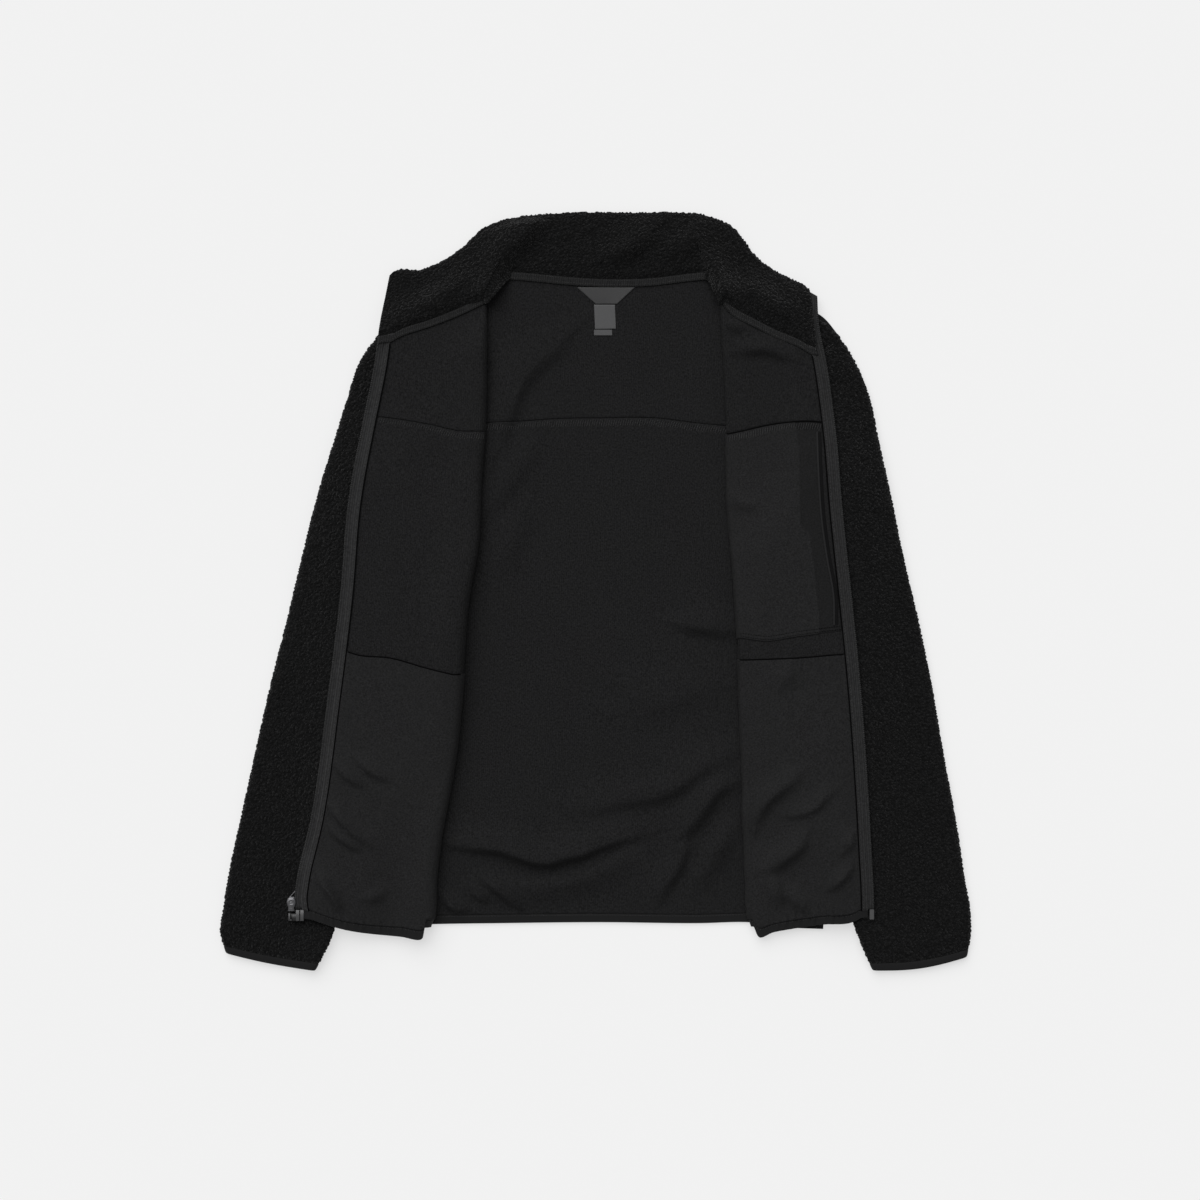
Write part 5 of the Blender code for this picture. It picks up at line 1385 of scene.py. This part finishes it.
def stacked(outline, level, levels):
    """Points and faces of a solid with one outline, given from the right round to the left.

    Each of its levels has a height over the given level, and an inset of the outline.
    """
    outline = np.array(outline, float)
    centre = (outline.min(axis=0) + outline.max(axis=0)) / 2
    away = outline - centre
    reach = np.linalg.norm(away, axis=1)[:, None]
    rings = [np.column_stack([centre + away * (1 - inset / reach), np.full(len(outline), level + height)])
             for height, inset in levels]
    index = numbered(len(rings), len(outline))
    turned = np.roll(index, -1, axis=1)
    sides = np.stack([index[:-1], turned[:-1], turned[1:], index[1:]], -1).reshape(-1, 4).tolist()
    return np.vstack(rings), sides + [index[0][::-1].tolist(), index[-1].tolist()]


def joined(solids):
    """Points and faces of several solids as one."""
    points, faces = [], []
    for made, sides in solids:
        start = sum(len(p) for p in points)
        points.append(made)
        faces += [[start + v for v in face] for face in sides]
    return np.vstack(points), faces


def box_outline(left, right, near, far):
    return [(right, near), (right, far), (left, far), (left, near)]


def round_outline(centre, radius, count):
    angles = np.arange(count) * 2 * math.pi / count
    return np.array(centre) + radius * np.column_stack([np.cos(angles), np.sin(angles)])


def build_slider(base):
    """Slider with a round head, a waist and a lip at its foot, and the ring of its rivet."""
    x, y = SLIDER_CENTRE
    outline = SLIDER_OUTLINE + [(-across, along) for across, along in reversed(SLIDER_OUTLINE)]
    outline = np.array(SLIDER_CENTRE) + np.array(outline) * np.array(SLIDER_HALF)
    top = base + SLIDER_LEVELS[-1][0]
    solids = [stacked(outline, base, SLIDER_LEVELS),
              stacked(round_outline((x, y + RING_UP), RING_RADIUS, 28), top, RING_LEVELS),
              stacked(box_outline(x - LIP_HALF, x + LIP_HALF, y + LIP_NEAR, y + LIP_FAR), top, LIP_LEVELS),
              stacked(round_outline(PIVOT, PIVOT_RADIUS, 12), base, PIVOT_LEVELS),
              stacked(round_outline(PIVOT, CAP_RADIUS, 16), base, CAP_LEVELS)]
    piece = add_piece("zip_slider_metal", *joined(solids), ["gunmetal"])
    piece.data.set_sharp_from_angle(angle=math.radians(50))
    dress(piece, "gunmetal", "zip_slider")


def loop_outline(half):
    """Rounded outline of the pull tab, from its pivot at 0, 0 toward +Y."""
    angles = np.linspace(-math.pi, 0, 14)
    near = half * np.column_stack([np.cos(angles), np.sin(angles)])
    return np.vstack([near, -near + np.array([0, TAB_LENGTH - 2 * TAB_HALF])])


def build_pull_tab(base):
    """Flat loop that swings about the slider's rivet."""
    outer, inner = loop_outline(TAB_HALF), loop_outline(TAB_HALF - TAB_FRAME)
    grid = np.stack([np.column_stack([outer * (1 - share) + inner * share, np.full(len(outer), height)])
                     for share, height in TAB_SECTION], axis=1)
    cos, sin = math.cos(TAB_TURN), math.sin(TAB_TURN)
    turned = grid[..., :2] @ np.array([[cos, -sin], [sin, cos]])
    grid = np.dstack([turned + np.array(PIVOT), grid[..., 2] + base + TAB_LEVEL])
    faces = quads(np.pad(numbered(*grid.shape[:2]), ((0, 1), (0, 1)), mode="wrap"), True)
    piece = add_piece("pull_tab_metal", grid.reshape(-1, 3), faces[:, ::-1].tolist(), ["gunmetal"])
    dress(piece, "gunmetal", "pull_tab", body="pull_tab")


def build_retainer_box():
    """Box at the foot of the left zip end: its plate in a recess, coloured near black as painted shade, and
    the moulded ribs on it.
    """
    x, y = np.array(BOX, float).mean(axis=0)
    level = lap_base(np.array([x]), np.array([y]))[0] + TAPE_RISE + TAPE / 2
    # The plate's near-black material is painted shade of the recess.
    plate = add_piece("retainer_box_plate", *stacked(BOX, level, BOX_LEVELS), ["plastic_recess"])
    dress(plate, "black_plastic")
    ribs = joined([stacked(box_outline(*rib), level, RIB_LEVELS) for rib in BOX_RIBS])
    piece = add_piece("retainer_box_ribbed", *ribs, ["black_plastic"])
    piece.data.set_sharp_from_angle(angle=math.radians(40))
    dress(piece, "black_plastic", "retainer_box")


# ---------------------------------------------------------------- floor, light and camera

FLOOR_GREY, FLOOR_GLOW = 0.3, 0.572     # the white table is lit from beneath too, so its shadows are pale
SKY = 0.40
SUN = 2.70
SUN_HEIGHT, SUN_FROM = 48.0, 113.0      # degrees above the horizon, and round from +X: from the upper left
SUN_ANGLE = 1.1                         # as wide as a large soft box
CAMERA_LENS, CAMERA_SENSOR = 85.0, 36.0
VIEW_CENTRE = (5.25, -7.9)      # the middle of the picture
VIEW_WIDTH = 1260.0


FLOOR_HALF, FLOOR_LEVEL = 3.0, -0.0003      # in metres
FLOOR_CORNERS = [(-1, -1), (1, -1), (1, 1), (-1, 1)]
WHITE = (1, 1, 1, 1)


def build_stage():
    mesh = bpy.data.meshes.new("floor")
    mesh.from_pydata([(x * FLOOR_HALF, y * FLOOR_HALF, 0) for x, y in FLOOR_CORNERS], [], [(0, 1, 2, 3)])
    floor = linked("floor", mesh)
    floor.location.z = FLOOR_LEVEL
    made = Maker("floor", (FLOOR_GREY,) * 3, 0.9, **{
        "Specular IOR Level": 0.0, "Emission Strength": FLOOR_GLOW, "Emission Color": WHITE})
    mesh.materials.append(made.done())

    scene = bpy.context.scene
    scene.world = bpy.data.worlds.new("studio")
    scene.world.use_nodes = True
    sky = scene.world.node_tree.nodes["Background"]
    sky.inputs["Color"].default_value = WHITE
    sky.inputs["Strength"].default_value = SKY
    sun = bpy.data.lights.new("sun", "SUN")
    sun.energy, sun.angle = SUN, SUN_ANGLE
    linked("sun", sun).rotation_euler = (math.radians(90 - SUN_HEIGHT), 0, math.radians(SUN_FROM + 90))

    camera = bpy.data.cameras.new("camera")
    camera.lens, camera.sensor_width = CAMERA_LENS, CAMERA_SENSOR
    scene.camera = linked("camera", camera)
    height = VIEW_WIDTH * MM * CAMERA_LENS / CAMERA_SENSOR
    scene.camera.location = (VIEW_CENTRE[0] * MM, VIEW_CENTRE[1] * MM, height)
    scene.view_settings.view_transform = "Standard"
    scene.view_settings.look = "None"


# ---------------------------------------------------------------- the jacket

def repaint(node, look):
    """Gives a node of the model a new material."""
    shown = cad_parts[node]
    for held in shown.material_slots:
        held.material = LOOKS[look]


def main():
    build_stage()
    make_looks()
    build_back()
    left, right = build_front("left"), build_front("right")
    for side in ("left", "right"):
        build_sleeve(side)
        build_zip_tape(side)
    build_collar(left, right)
    build_labels()
    base = lap_base(np.array(SLIDER_CENTRE[:1]), np.array(SLIDER_CENTRE[1:]))[0]
    build_slider(base)
    build_pull_tab(base)
    build_retainer_box()
    repaint("insertion_pin", "black_plastic")


main()
